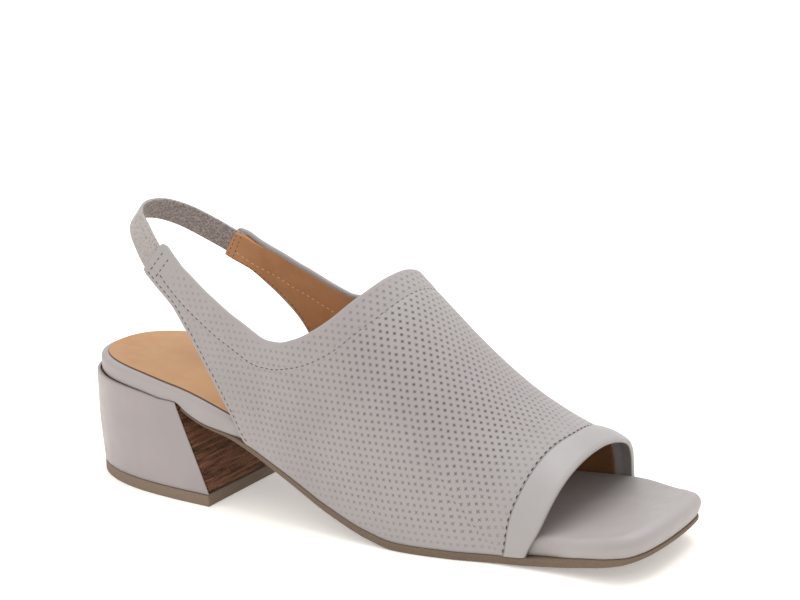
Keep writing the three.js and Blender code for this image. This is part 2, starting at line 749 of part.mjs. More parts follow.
// Solid block from rings of points, closed by strips across the top and the bottom
function block(rings) {
  const positions = rings.flat().flatMap((point) => [point.x, point.y, point.z]);
  const triangles = [];
  const count = rings[0].length;
  for (let r = 0; r < rings.length - 1; r += 1) {
    for (let i = 0; i < count; i += 1) {
      const n = (i + 1) % count;
      const a = r * count + i;
      const b = r * count + n;
      triangles.push(a, b + count, b, a, a + count, b + count);
    }
  }
  const lid = (first, up) => {
    for (let i = 0; i < count / 2 - 1; i += 1) {
      const a = first + i;
      const b = first + i + 1;
      const c = first + count - 2 - i;
      const d = first + count - 1 - i;
      const quad = c === b ? [a, b, d] : [a, b, c, a, c, d];
      for (let k = 0; k < quad.length; k += 3) {
        if (up) triangles.push(quad[k], quad[k + 2], quad[k + 1]);
        else triangles.push(quad[k], quad[k + 1], quad[k + 2]);
      }
    }
  };
  lid(0, false);
  lid((rings.length - 1) * count, true);
  return { positions, triangles };
}

function heelCore() {
  const rows = HEEL_CORE_ROWS;
  const rings = [];
  const places = heelPlaces();
  for (let r = 0; r <= rows; r += 1) {
    rings.push(places.map((place) => {
      const point = heelPoint(place, r / rows, COVER_THICK + GAP);
      point.x -= BREAST_SETBACK * (place.x / BREAST_TOP);
      return point;
    }));
  }
  return block(rings);
}

function topPiece() {
  const places = heelPlaces();
  const profile = [
    { z: 0, inset: LIFT_BEVEL },
    { z: LIFT_BEVEL, inset: 0 },
    { z: LIFT_THICK - LIFT_BEVEL, inset: 0 },
    { z: LIFT_THICK, inset: LIFT_BEVEL },
  ];
  const rings = profile.map((row) => places.map((place) => {
    const foot = heelPoint(place, 0, row.inset);
    return new THREE.Vector3(foot.x - row.inset * (place.x / BREAST_TOP), foot.y, row.z);
  }));
  return block(rings);
}

// Join and cut
const wasm = await Module();
wasm.setup();

function solid({ positions, triangles }) {
  return new wasm.Manifold(new wasm.Mesh({
    numProp: 3,
    vertProperties: new Float32Array(positions),
    triVerts: new Uint32Array(triangles),
  }));
}

function geometry(body) {
  const mesh = body.getMesh();
  const result = new THREE.BufferGeometry();
  result.setAttribute('position', new THREE.BufferAttribute(mesh.vertProperties, mesh.numProp));
  result.setIndex(new THREE.BufferAttribute(mesh.triVerts, 1));
  result.computeVertexNormals();
  return result;
}

const whole = plan(null, null, BED_GRID);
const breastLean = (LIFT_FRONT - BREAST_TOP) / (underside(BREAST_TOP) - LIFT_THICK);
const outsoleBack = BREAST_TOP + 2 * GAP + breastLean * OUTSOLE_THICK;
const fromBreast = plan(outsoleBack, null, OUTSOLE_GRID);
const heelToWaist = plan(null, SOCK_FRONT * LENGTH, SOCK_GRID);
const knots = strapStations();
const strap = solid(strapBody(knots, STRAP_WIDTH, STRAP_THICK));
const pocket = solid(strapBody(
  knots,
  STRAP_WIDTH + 2 * POCKET_CLEARANCE,
  STRAP_THICK + 2 * POCKET_CLEARANCE,
));

const pieces = [
  {
    name: 'outsole',
    body: solid(plate(fromBreast, OUTSOLE_EDGE, () => 0, underside, outsoleTop)),
    color: '#6f645c',
    roughness: 0.75,
  },
  {
    name: 'footbed',
    body: solid(plate(whole, BED_EDGE, bedTuck, bedUnder, bedTop)),
    color: '#a9a2a6',
    roughness: 0.55,
  },
  {
    name: 'sock',
    body: solid(plate(
      heelToWaist,
      SOCK_EDGE,
      (x) => SOCK_MARGIN + bedTuck(x),
      (x) => bedTop(x) + GAP,
      (x) => bedTop(x) + GAP + SOCK_THICK,
    )),
    color: '#c98e58',
    roughness: 0.6,
  },
  {
    name: 'upper',
    body: solid(upperShell()).subtract(pocket),
    color: '#a59ea3',
    roughness: 0.6,
  },
  {
    name: 'toe_band',
    body: solid(toeBand()),
    color: '#b0a8ad',
    roughness: 0.45,
  },
  {
    name: 'sling_strap',
    body: strap,
    color: '#97919a',
    roughness: 0.85,
  },
  {
    name: 'heel_core',
    body: solid(heelCore()),
    color: '#7a5b45',
    roughness: 0.7,
  },
  {
    name: 'heel_cover',
    body: solid(heelCover()),
    color: '#9c969a',
    roughness: 0.5,
  },
  {
    name: 'top_piece',
    body: solid(topPiece()),
    color: '#6a5f58',
    roughness: 0.8,
  },
];

const group = new THREE.Group();
group.name = 'slingback_sandal';
for (const piece of pieces) {
  const material = new THREE.MeshStandardMaterial({
    color: piece.color,
    roughness: piece.roughness,
    metalness: 0,
  });
  const mesh = new THREE.Mesh(geometry(piece.body), material);
  mesh.name = piece.name;
  group.add(mesh);
}

// Origin at the middle of the footprint, on the floor
const bounds = new THREE.Box3().setFromObject(group);
const centre = bounds.getCenter(new THREE.Vector3());
for (const mesh of group.children) {
  mesh.position.set(-centre.x, -centre.y, -bounds.min.z);
}

export default group;
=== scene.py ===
# Slingback block-heel sandal, right shoe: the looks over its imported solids.
# Shapes are worked in millimetres from the back of the heel and turned to metres in metres().
import math

import bmesh
import bpy
import numpy as np
from mathutils import Matrix, Vector


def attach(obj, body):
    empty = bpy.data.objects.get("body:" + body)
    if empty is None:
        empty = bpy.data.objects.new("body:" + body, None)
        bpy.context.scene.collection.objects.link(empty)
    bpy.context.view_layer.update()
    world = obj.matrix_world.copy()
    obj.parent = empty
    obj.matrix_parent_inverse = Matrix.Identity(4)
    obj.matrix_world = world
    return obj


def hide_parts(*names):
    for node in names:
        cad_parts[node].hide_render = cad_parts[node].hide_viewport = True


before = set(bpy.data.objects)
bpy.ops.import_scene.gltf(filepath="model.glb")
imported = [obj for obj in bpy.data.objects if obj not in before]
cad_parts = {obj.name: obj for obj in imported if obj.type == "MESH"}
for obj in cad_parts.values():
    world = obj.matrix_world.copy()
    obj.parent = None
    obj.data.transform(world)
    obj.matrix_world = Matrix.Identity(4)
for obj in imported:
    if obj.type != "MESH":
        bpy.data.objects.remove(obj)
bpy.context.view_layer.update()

# Sizes, millimetres
LENGTH = 248
BALL_WIDTH = 84
SEAT_HEIGHT = 43.3
TOE_SPRING = 9
THROAT_HEIGHT = 93.5
OUTSOLE_THICK = 3.6
BED_THICK = 6.5
UPPER_WALL = 1.8
TAB_WALL = 3.5
BAND_WALL = 2.2
BAND_STEP = 0.35
STRAP_THICK = 1.4
STRAP_REACH = 25.4
COVER_THICK = 1.4
LIFT_THICK = 4.7
GAP = 0.3
BED_GAP = 0.12
# the outsole's edge is skived thin in front of the heel, along the sides and at the toe
THIN_WAIST = 1.1
THIN_TOE = 0.9
THIN_SIDE = 0.5
# how far the sole hangs down ahead of the heel block and behind the ball
WAIST_SAG = 2.6
BALL_SAG = 0.8
# place of the heel's back in the part's own frame
ORIGIN = np.array((-122.8247, -3.7619, 0.0))

# along the shoe as a share of LENGTH, outer and inner edge of the sole as shares of BALL_WIDTH
OUTLINE = np.array((
    (0.0, 0.0, 0.0), (0.003, 0.095, 0.095), (0.0135, 0.168, 0.168), (0.031, 0.228, 0.228),
    (0.058, 0.283, 0.283), (0.095, 0.322, 0.321), (0.145, 0.341, 0.34), (0.21, 0.346, 0.345),
    (0.28, 0.352, 0.349), (0.35, 0.372, 0.354), (0.42, 0.403, 0.372), (0.49, 0.43, 0.401),
    (0.56, 0.455, 0.436), (0.63, 0.466, 0.478), (0.7, 0.443, 0.52), (0.765, 0.402, 0.553),
    (0.815, 0.388, 0.556), (0.855, 0.381, 0.525), (0.9, 0.377, 0.438), (0.945, 0.376, 0.346),
    (0.971, 0.353, 0.297), (0.988, 0.278, 0.245), (0.9965, 0.15, 0.12), (0.9985, 0.03, -0.03),
))
# along, height under the shoe as a share of SEAT_HEIGHT, rise of the toe as a share of TOE_SPRING
UNDERSIDE = np.array((
    (0.0, 1.0, 0.0), (0.1, 0.958, 0.0), (0.2, 0.868, 0.0), (0.3, 0.666, 0.0), (0.4, 0.436, 0.0),
    (0.5, 0.198, 0.0), (0.57, 0.05, 0.0), (0.617, 0.0, 0.0), (0.726, 0.0, 0.0), (0.794, 0.0, 0.063),
    (0.863, 0.0, 0.25), (0.931, 0.0, 0.563), (1.0, 0.0, 1.0),
))
# along, outsole thickness, board thickness, tuck of the board under the upper, as shares
LAYERS = np.array((
    (0.0, 0.0, 1.06, 0.0), (0.165, 0.0, 1.03, 0.0), (0.205, 0.42, 0.82, 0.0), (0.3, 0.62, 0.86, 0.1),
    (0.345, 0.72, 0.9, 1.0), (0.5, 0.95, 0.97, 1.0), (0.6, 1.0, 1.0, 1.0), (0.83, 1.0, 1.0, 1.0),
    (0.885, 1.0, 1.0, 0.3), (1.0, 1.0, 1.0, 0.3),
))
# along, ridge height, ridge lean, fullness of the outer and the inner flank
INSTEP = np.array((
    (0.08, 1.615, 0.0, 2.0, 2.0), (0.16, 1.604, 0.0, 2.0, 2.0), (0.24, 1.573, 0.0, 2.0, 2.0),
    (0.32, 1.512, 0.0, 2.0, 2.0), (0.4, 1.396, 0.0, 2.0, 2.0), (0.48, 1.205, 0.0, 2.02, 1.98),
    (0.56, 0.985, 0.012, 2.05, 1.96), (0.61, 0.86, 0.014, 2.08, 1.94), (0.65, 0.748, 0.021, 2.1, 1.94),
    (0.69, 0.645, 0.032, 2.1, 1.94), (0.74, 0.538, 0.047, 2.1, 1.94), (0.79, 0.458, 0.067, 2.1, 1.94),
    (0.84, 0.398, 0.094, 2.1, 1.94), (0.88, 0.35, 0.113, 2.1, 1.94),
))
# cutting pattern of the upper: collar place and round, rim place and round
PATTERN = np.array((
    (0.1822, 0.1841, 0.1466, 0.1445), (0.2278, 0.16, 0.189, 0.12), (0.2702, 0.1446, 0.2296, 0.095),
    (0.3169, 0.1325, 0.2738, 0.058), (0.3629, 0.13, 0.3105, 0.024), (0.3992, 0.14, 0.3448, 0.0),
    (0.4315, 0.164, 0.4234, 0.0), (0.4601, 0.194, 0.5081, 0.0), (0.4944, 0.245, 0.6048, 0.0),
    (0.5237, 0.3153, 0.6976, 0.0), (0.536, 0.357, 0.7845, 0.0), (0.545, 0.4, 0.7935, 0.11),
    (0.551, 0.445, 0.8037, 0.22), (0.554, 0.49, 0.8142, 0.36), (0.5555, 0.532, 0.8238, 0.5),
    (0.554, 0.575, 0.8215, 0.62), (0.548, 0.618, 0.8168, 0.74), (0.538, 0.66, 0.808, 0.87),
    (0.523, 0.7, 0.7965, 1.0), (0.5035, 0.736, 0.7097, 1.0), (0.4785, 0.778, 0.6129, 1.0),
    (0.448, 0.814, 0.5121, 1.0), (0.4153, 0.8375, 0.4234, 1.0), (0.3839, 0.8492, 0.3448, 1.0),
    (0.3468, 0.8511, 0.3206, 0.952), (0.3024, 0.8478, 0.2843, 0.912), (0.2581, 0.8395, 0.2379, 0.8895),
    (0.2177, 0.8354, 0.1915, 0.8791), (0.1835, 0.8314, 0.154, 0.8694),
))
# front edge of the toe band: round, along
BAND_FRONT = np.array((
    (0.0, 0.819), (0.1, 0.839), (0.2, 0.8487), (0.3, 0.8545), (0.4, 0.8586), (0.5, 0.861), (0.6, 0.862),
    (0.7, 0.858), (0.8, 0.848), (0.9, 0.8375), (1.0, 0.8325),
))
# strap loop: reach behind the tabs, place across, lean of its width in degrees
STRAP = np.array((
    (0.45, -0.838, 49), (0.765, -0.622, 36), (0.932, -0.334, 39), (0.955, -0.045, 34), (0.893, 0.249, 31),
    (0.696, 0.554, 33), (0.346, 0.834, 38),
))
# place along the strap counted in the points above and its three in each tab, width
STRAP_WIDTHS = np.array(((0, 11.0), (2, 11.0), (6, 9.5), (10, 10.9), (12, 10.9)))
# the strap enters the outer tab below its middle and the inner one above it
STRAP_SHARES = (0.598, 0.454)
# rise as a share of the footbed's thickness, outward shift of its edge at the heel and at the toe
BED_EDGE = np.array((
    (0, -0.4, -0.5), (0.10, -0.1, -0.1), (0.30, 0.0, 0.35), (0.45, 0.0, 0.6), (0.66, 0.0, 0.35),
    (0.82, -0.22, -0.4), (0.93, -0.8, -1.4), (0.98, -1.5, -2.4), (1, -2.3, -3.4),
))

HEEL_CORNER = 2
TOE_CORNER = 20
TOE_SEAM = (10, 18)
LAST_LINE = len(PATTERN) - 1


# Curves
def curve(xs, ys, swing=False):
    """Smooth curve through points. Without swing it never passes beyond a point."""
    xs = np.asarray(xs, float)
    ys = np.asarray(ys, float)
    gaps = np.diff(xs)
    slopes = np.diff(ys) / gaps
    lean = np.empty(len(xs))
    lean[0] = slopes[0]
    lean[-1] = slopes[-1]
    for i in range(1, len(xs) - 1):
        before, after = slopes[i - 1], slopes[i]
        if swing:
            lean[i] = (before * gaps[i] + after * gaps[i - 1]) / (gaps[i] + gaps[i - 1])
        elif before * after <= 0:
            lean[i] = 0
        else:
            first = 2 * gaps[i] + gaps[i - 1]
            second = gaps[i] + 2 * gaps[i - 1]
            lean[i] = (first + second) / (first / before + second / after)

    def value(x):
        x = np.clip(x, xs[0], xs[-1])
        i = np.clip(np.searchsorted(xs, x) - 1, 0, len(gaps) - 1)
        t = (x - xs[i]) / gaps[i]
        ends = ys[i] * (1 + 2 * t) * (1 - t) ** 2 + ys[i + 1] * t * t * (3 - 2 * t)
        return ends + gaps[i] * (lean[i] * t * (1 - t) ** 2 + lean[i + 1] * t * t * (t - 1))

    return value


def path_through(points, closed=False):
    """Centripetal curve through points; a place on it counts the points."""
    points = np.asarray(points, float)
    count = len(points)
    ends = np.vstack((2 * points[0] - points[1], points, 2 * points[-1] - points[-2]))

    def at(place):
        place = np.asarray(place, float)
        if closed:
            i = np.floor(place).astype(int)
            near = [points[(i + k) % count] for k in (-1, 0, 1, 2)]
        else:
            i = np.clip(np.floor(place).astype(int), 0, count - 2)
            near = [ends[i + k] for k in range(4)]
        t = (place - i)[..., None]
        gaps = [((near[k + 1] - near[k]) ** 2).sum(-1)[..., None] ** 0.25 for k in range(3)]
        middle = np.where(gaps[1] < 1e-4, 1, gaps[1])
        back = np.where(gaps[0] < 1e-4, middle, gaps[0])
        front = np.where(gaps[2] < 1e-4, middle, gaps[2])
        a, b, c, d = near
        leave = ((b - a) / back - (c - a) / (back + middle) + (c - b) / middle) * middle
        arrive = ((c - b) / middle - (d - b) / (middle + front) + (d - c) / front) * middle
        square = 3 * (c - b) - 2 * leave - arrive
        cube = 2 * (b - c) + leave + arrive
        return b + leave * t + square * t ** 2 + cube * t ** 3

    return at


def ease(low, high, x):
    t = np.clip((x - low) / (high - low), 0, 1)
    return t * t * (3 - 2 * t)


def bump(middle, width, x):
    return np.exp(-((x - middle) / width) ** 2)


def unit(vectors):
    return vectors / np.linalg.norm(vectors, axis=-1, keepdims=True)


def metres(points):
    return (points + ORIGIN) * 0.001


# Heights through the shoe
seat_share = curve(UNDERSIDE[:, 0], UNDERSIDE[:, 1])
spring_share = curve(UNDERSIDE[:, 0], UNDERSIDE[:, 2])
outsole_share = curve(LAYERS[:, 0], LAYERS[:, 1])
board_share = curve(LAYERS[:, 0], LAYERS[:, 2])
tuck_share = curve(LAYERS[:, 0], LAYERS[:, 3])


def sole_sag(x):
    return WAIST_SAG * bump(61, 11, x) * ease(49.5, 55, x) + BALL_SAG * bump(122, 12, x)


def skived(x):
    """How much the outsole's edge is pared away; the footbed's wrap takes up its height."""
    side = THIN_SIDE * ease(75, 95, x) * (1 - ease(205, 225, x))
    return side + THIN_WAIST * bump(64, 17, x) + THIN_TOE * (ease(222, 243, x) + 0.9 * ease(236, 247, x))


def underside(x):
    return SEAT_HEIGHT * seat_share(x / LENGTH) + TOE_SPRING * spring_share(x / LENGTH) - sole_sag(x)


def outsole_top(x):
    return underside(x) + OUTSOLE_THICK * outsole_share(x / LENGTH) - skived(x)


def bed_under(x):
    return outsole_top(x) + BED_GAP


def bed_top(x):
    return bed_under(x) + BED_THICK * board_share(x / LENGTH) + skived(x) + sole_sag(x)


def bed_tuck(x):
    return (UPPER_WALL + 0.9) * tuck_share(x / LENGTH) * (1 - ease(214, 224, x))


# Sole outline
outer_points = np.stack((OUTLINE[:, 0] * LENGTH, -OUTLINE[:, 1] * BALL_WIDTH), -1)
inner_points = np.stack((OUTLINE[:, 0] * LENGTH, OUTLINE[:, 2] * BALL_WIDTH), -1)
outline_points = np.vstack((outer_points, inner_points[-2:0:-1]))
OUTLINE_ROWS = len(outline_points)
outline_at = path_through(outline_points, closed=True)


def outline_row(x, side):
    """Row of the outline at which one side passes the distance x."""
    low, high = (1, len(OUTLINE) - 2) if side < 0 else (len(OUTLINE), OUTLINE_ROWS - 1)
    for _ in range(40):
        middle = (low + high) / 2
        if (outline_at(middle)[0] < x) == (side < 0):
            low = middle
        else:
            high = middle
    return (low + high) / 2


def outline_run(first, last):
    """Evenly spaced places along part of the outline, with their outward directions."""
    rows = np.linspace(first, last, 600)
    steps = np.linalg.norm(np.diff(outline_at(rows), axis=0), axis=1)
    lengths = np.concatenate(([0], np.cumsum(steps)))

    def at(t):
        row = np.interp(np.asarray(t, float) * lengths[-1], lengths, rows)
        ahead = unit(outline_at(row + 0.02) - outline_at(row - 0.02))
        return outline_at(row), np.stack((ahead[..., 1], -ahead[..., 0]), -1)

    return at


class Plan:
    """Part of the sole seen from above, as a patch with u along and v across the shoe."""

    def __init__(self, from_x=None, to_x=None):
        self.cut_back = from_x is not None
        self.cut_front = to_x is not None
        back_outer = outline_row(from_x, -1) if self.cut_back else HEEL_CORNER
        back_inner = outline_row(from_x, 1) if self.cut_back else OUTLINE_ROWS - HEEL_CORNER
        front_outer = outline_row(to_x, -1) if self.cut_front else TOE_CORNER
        front_inner = outline_row(to_x, 1) if self.cut_front else OUTLINE_ROWS - TOE_CORNER
        self.outer = outline_run(back_outer, front_outer)
        self.inner = outline_run(back_inner, front_inner)
        self.back = outline_run(HEEL_CORNER, -HEEL_CORNER)
        self.front = outline_run(front_outer, front_inner)

    def side(self, run, u):
        point, outward = run(u)
        if self.cut_back:
            outward = outward - np.stack((bump(0, 1e-3, u), 0 * u), -1)
        if self.cut_front:
            outward = outward + np.stack((bump(1, 1e-3, u), 0 * u), -1)
        return point, outward

    def at(self, u, v, out, tuck=None):
        """Points of the patch, its edge moved outwards by out and inwards by tuck(x)."""
        def moved(point, outward):
            reach = out - (tuck(point[..., 0]) if tuck else 0)
            return point + outward * np.reshape(reach * np.ones(len(point)), (-1, 1))

        def sides(t):
            return moved(*self.side(self.outer, t)), moved(*self.side(self.inner, t))

        a, b = sides(u)
        a0, b0 = sides(0 * u)
        a1, b1 = sides(0 * u + 1)
        t = u[:, None]
        w = v[:, None]
        back = a0 + (b0 - a0) * w if self.cut_back else moved(*self.back(v))
        front = a1 + (b1 - a1) * w if self.cut_front else moved(*self.front(v))
        across = a + (b - a) * w
        corners = (a0 + (b0 - a0) * w) * (1 - t) + (a1 + (b1 - a1) * w) * t
        return across + back + (front - back) * t - corners


# Upper over the last
ridge_share = curve(INSTEP[:, 0], INSTEP[:, 1])
lean_share = curve(INSTEP[:, 0], INSTEP[:, 2])
outer_fullness = curve(INSTEP[:, 0], INSTEP[:, 3])
inner_fullness = curve(INSTEP[:, 0], INSTEP[:, 4])
outer_reach = curve(OUTLINE[:, 0], OUTLINE[:, 1])
inner_reach = curve(OUTLINE[:, 0], OUTLINE[:, 2])
tab_share = curve((0.10, 0.20, 0.25, 0.90), (1, 1, 0, 0))
lines = np.arange(len(PATTERN))
edge_along, edge_round, rim_along, rim_round = (curve(lines, PATTERN[:, k]) for k in range(4))


def last_point(along, turn):
    """Point of the last; turn runs from the outer feather line over the ridge to the inner one."""
    outer = turn <= 0.5
    angle = np.pi * np.where(outer, turn, 1 - turn)
    power = 2 / np.where(outer, outer_fullness(along), inner_fullness(along))
    spread = np.maximum(np.cos(angle), 0) ** power
    climb = np.maximum(np.sin(angle), 0) ** power
    middle = BALL_WIDTH * lean_share(along)
    outer_side = BALL_WIDTH * outer_reach(along) + middle
    inner_side = BALL_WIDTH * inner_reach(along) - middle
    reach = np.where(outer, -outer_side + 0.2, inner_side - 0.2)
    foot = bed_under(along * LENGTH)
    height = foot + (THROAT_HEIGHT * ridge_share(along) - foot) * climb
    return np.stack((along * LENGTH, middle + reach * spread, height), -1)


def inward(along, turn):
    """Direction into the shoe, kept level at the feather line."""
    step = 0.004
    held = np.clip(turn, 0.002, 0.998)
    across = last_point(along, np.minimum(held + step, 1))
    across = across - last_point(along, np.maximum(held - step, 0))
    forward = last_point(along + step, held) - last_point(along - step, held)
    direction = unit(np.cross(across, forward))
    level = (turn < 0.002) | (turn > 0.998)
    direction[..., 2] = np.where(level, 0, direction[..., 2])
    return unit(direction)


def skin(along, turn, depth):
    return last_point(along, turn) + inward(along, turn) * np.asarray(depth)[..., None]


def cut(line, share):
    """Place on the cutting pattern: share runs from the collar to the rim."""
    along = edge_along(line) * (1 - share) + rim_along(line) * share
    turn = edge_round(line) * (1 - share) + rim_round(line) * share
    return along, turn


def wall_at(line, share):
    along, _ = cut(line, share)
    return UPPER_WALL + (TAB_WALL - UPPER_WALL) * tab_share(along)


# real distances from the collar, for seams and folds that keep their distance
TABLE_LINES = np.linspace(0, LAST_LINE, 113)
TABLE_SHARES = np.linspace(0, 1, 81)
table_points = last_point(*cut(
    TABLE_LINES[:, None] + 0 * TABLE_SHARES, 0 * TABLE_LINES[:, None] + TABLE_SHARES))
table_steps = np.linalg.norm(np.diff(table_points, axis=1), axis=2)
collar_table = np.pad(np.cumsum(table_steps, axis=1), ((0, 0), (1, 0)))
end_steps = np.linalg.norm(np.diff(table_points, axis=0), axis=2)
end_table = np.pad(np.cumsum(end_steps, axis=0), ((1, 0), (0, 0)))


def look_up(table, line, share):
    i = np.clip(line / LAST_LINE * (len(TABLE_LINES) - 1), 0, len(TABLE_LINES) - 1.001)
    j = np.clip(share * (len(TABLE_SHARES) - 1), 0, len(TABLE_SHARES) - 1.001)
    a, b = i.astype(int), j.astype(int)
    i, j = i - a, j - b
    near = table[a, b] * (1 - j) + table[a, b + 1] * j
    far = table[a + 1, b] * (1 - j) + table[a + 1, b + 1] * j
    return near * (1 - i) + far * i


def from_collar(line, share):
    return look_up(collar_table, line, share)


def from_rim(line, share):
    return look_up(collar_table[:, -1:] - collar_table, line, share)


def from_tab_end(line, share):
    return np.minimum(look_up(end_table, line, share), look_up(end_table[-1:] - end_table, line, share))


def share_at(line, distance):
    """Share at a distance in millimetres from the collar, or from the rim where it is negative."""
    line, distance = np.broadcast_arrays(np.asarray(line, float), distance)
    grid = from_collar(line[:, None] + 0 * TABLE_SHARES, 0 * line[:, None] + TABLE_SHARES)
    wanted = np.where(distance < 0, grid[:, -1] + distance, distance)
    return np.array([np.interp(w, row, TABLE_SHARES) for w, row in zip(wanted, grid)])


# distance of the collar seam from the folded edge, from the outer tab to the inner tab
seam_distance = curve((0, 1, 3, 5, 6.5, 9, 12, 14, 16, 19, 21.5, 23, 25, 27, 28),
                      (10.2, 10.2, 10.6, 10.4, 10.5, 10.6, 9.9, 9.6, 9.9, 10.4, 10.6, 10.6, 10.5, 9.8, 9.6))


def wing(line):
    """1 on the wings behind the feather line, 0 over the vamp."""
    return 1 - ease(4.6, 5.2, line) * (1 - ease(22.8, 23.4, line))


def upper_relief(line, share):
    """How far the leather stands out: the puffed collar band, and the hollows of its seams."""
    collar = from_collar(line, share)
    rim = from_rim(line, share)
    seam = seam_distance(line)
    vamp = ease(4.5, 7.5, line) * (1 - ease(20.5, 23.5, line))
    puff = 0.05 * vamp * np.sin(np.pi * np.clip((collar - 0.6) / (seam - 1.0), 0, 1)) ** 0.8
    collar_seam = -0.28 * bump(seam, 0.85, collar)
    wing_seam = -0.10 * wing(line) * bump(1.1, 0.5, rim)
    toe_seam = ease(9.8, 10.2, line) * (1 - ease(17.8, 18.2, line))
    tuck = -(0.30 - 0.22 * toe_seam) * (1 - wing(line)) * np.exp(-rim / 0.9)
    return puff + collar_seam + wing_seam + tuck + sum(
        height * np.exp(-(((line - at_line) / wide) ** 2 + ((share - at_share) / high) ** 2))
        for at_line, at_share, wide, high, height in SOFT_CREASES)


# main creases: pattern line, share, half widths, height (a trough is negative)
SOFT_CREASES = (
    (4.9, 0.42, 0.55, 0.30, -0.45),
    (5.9, 0.50, 0.60, 0.35, 0.22),
    (23.2, 0.42, 0.55, 0.30, -0.45),
    (8.2, 0.62, 0.55, 0.28, -0.22),
    (9.6, 0.70, 0.50, 0.26, 0.16),
    (14.2, 0.24, 2.40, 0.14, -0.50),
    (20.6, 0.66, 0.55, 0.26, -0.22),
)


# Making meshes
def add_object(name, bm, materials, smooth_angle=None):
    mesh = bpy.data.meshes.new(name)
    bm.to_mesh(mesh)
    bm.free()
    for material in materials:
        mesh.materials.append(material)
    mesh.shade_smooth()
    if smooth_angle:
        mesh.set_sharp_from_angle(angle=math.radians(smooth_angle))
    piece = bpy.data.objects.new(name, mesh)
    bpy.context.scene.collection.objects.link(piece)
    return piece


def outward_at(vert):
    """Direction in the face's plane that leads out over the border at one of its points."""
    total = Vector()
    for edge in vert.link_edges:
        if edge.is_boundary:
            face = edge.link_faces[0]
            a, b = edge.verts
            side = (b.co - a.co).cross(face.normal).normalized()
            if side.dot(face.calc_center_median() - (a.co + b.co) / 2) > 0:
                side.negate()
            total += side
    return total.normalized()


def closed_sheet(name, materials, along, across, face, under, rings, chart=None, marks=None, pick=None):
    """A grid over the face, its border carried ring by ring round the edge, and a grid below."""
    bm = bmesh.new()
    keys = [bm.verts.layers.float.new(key) for key in ("place_u", "place_v", "depth")]

    def place(verts, points_at, level, rims=None):
        uv = np.array([(v[keys[0]], v[keys[1]]) for v in verts], float)
        if rims is None:
            points = points_at(uv[:, 0], uv[:, 1])
        else:
            outward = np.array([rims[round(u * along), round(v * across)] for u, v in uv])
            points = points_at(uv[:, 0], uv[:, 1], outward)
        for vert, point in zip(verts, metres(points)):
            vert.co = point
            vert[keys[2]] = level

    def add_grid(points_at, level):
        verts = bmesh.ops.create_grid(bm, x_segments=along, y_segments=across, size=0.5)["verts"]
        for vert in verts:
            vert[keys[0]] = round((vert.co.x + 0.5) * along) / along
            vert[keys[1]] = round((vert.co.y + 0.5) * across) / across
        place(verts, points_at, level)
        return verts

    add_grid(face, 0)
    bm.normal_update()
    border = [edge for edge in bm.edges if edge.is_boundary]
    rims = {}
    for vert in {vert for edge in border for vert in edge.verts}:
        rims[round(vert[keys[0]] * along), round(vert[keys[1]] * across)] = np.array(outward_at(vert))
    ring_verts = []
    for k, ring in enumerate([*rings, None]):
        made = bmesh.ops.extrude_edge_only(bm, edges=border)["geom"]
        ring_verts = [item for item in made if isinstance(item, bmesh.types.BMVert)]
        border = [item for item in made if isinstance(item, bmesh.types.BMEdge) and item.is_boundary]
        if ring:
            place(ring_verts, ring, (k + 1) / (len(rings) + 1), rims)
        else:
            place(ring_verts, under, 1)
    bottom = add_grid(under, 1)
    bmesh.ops.reverse_faces(bm, faces=list({f for v in bottom for f in v.link_faces}))
    bmesh.ops.remove_doubles(bm, verts=ring_verts + [v for v in bottom if v.is_boundary], dist=2e-6)
    bmesh.ops.recalc_face_normals(bm, faces=bm.faces)

    data = np.array([[v[key] for key in keys] for v in bm.verts])
    if chart:
        flat = chart(data[:, 0], data[:, 1])
        layer = bm.loops.layers.uv.new("flat_leather")
        bm.verts.index_update()
        for polygon in bm.faces:
            for loop in polygon.loops:
                loop[layer].uv = flat[loop.vert.index]
    for key, values in (marks or {}).items():
        layer = bm.verts.layers.float.new(key)
        for vert, value in zip(bm.verts, values(*data.T)):
            vert[layer] = value
    if pick:
        bm.verts.index_update()
        for polygon in bm.faces:
            polygon.material_index = pick(*data[[v.index for v in polygon.verts]].mean(0))
    for key in ("place_u", "place_v", "depth"):
        bm.verts.layers.float.remove(bm.verts.layers.float[key])
    return add_object(name, bm, materials)


def round_edge(point_at, thickness, swell, steps=5):
    """Rings of a half round border: point_at(u, v, depth) with its thickness and its swell."""
    def ring(angle):
        def place(u, v, outward):
            thick = thickness(u, v)
            reach = swell(u, v) * math.sin(angle)
            return point_at(u, v, thick * (1 - math.cos(angle)) / 2) + outward * reach[:, None]
        return place
    return [ring(math.pi * (k + 1) / (steps + 1)) for k in range(steps)]


def ringed_block(name, materials, rings, smooth_angle=35):
    """Block from rings of points, each extruded from the one before, closed at both ends."""
    bm = bmesh.new()
    order = bm.verts.layers.int.new("order")
    first = [bm.verts.new(point) for point in metres(rings[0])]
    for i, vert in enumerate(first):
        vert[order] = i
    border = [bm.edges.new((vert, first[i - 1])) for i, vert in enumerate(first)]
    for ring in rings[1:]:
        points = metres(ring)
        made = bmesh.ops.extrude_edge_only(bm, edges=border)["geom"]
        for vert in made:
            if isinstance(vert, bmesh.types.BMVert):
                vert.co = points[vert[order]]
        border = [item for item in made if isinstance(item, bmesh.types.BMEdge) and item.is_boundary]
    bmesh.ops.holes_fill(bm, edges=[edge for edge in bm.edges if edge.is_boundary], sides=0)
    bmesh.ops.recalc_face_normals(bm, faces=bm.faces)
    bm.verts.layers.int.remove(bm.verts.layers.int["order"])
    return add_object(name, bm, materials, smooth_angle)


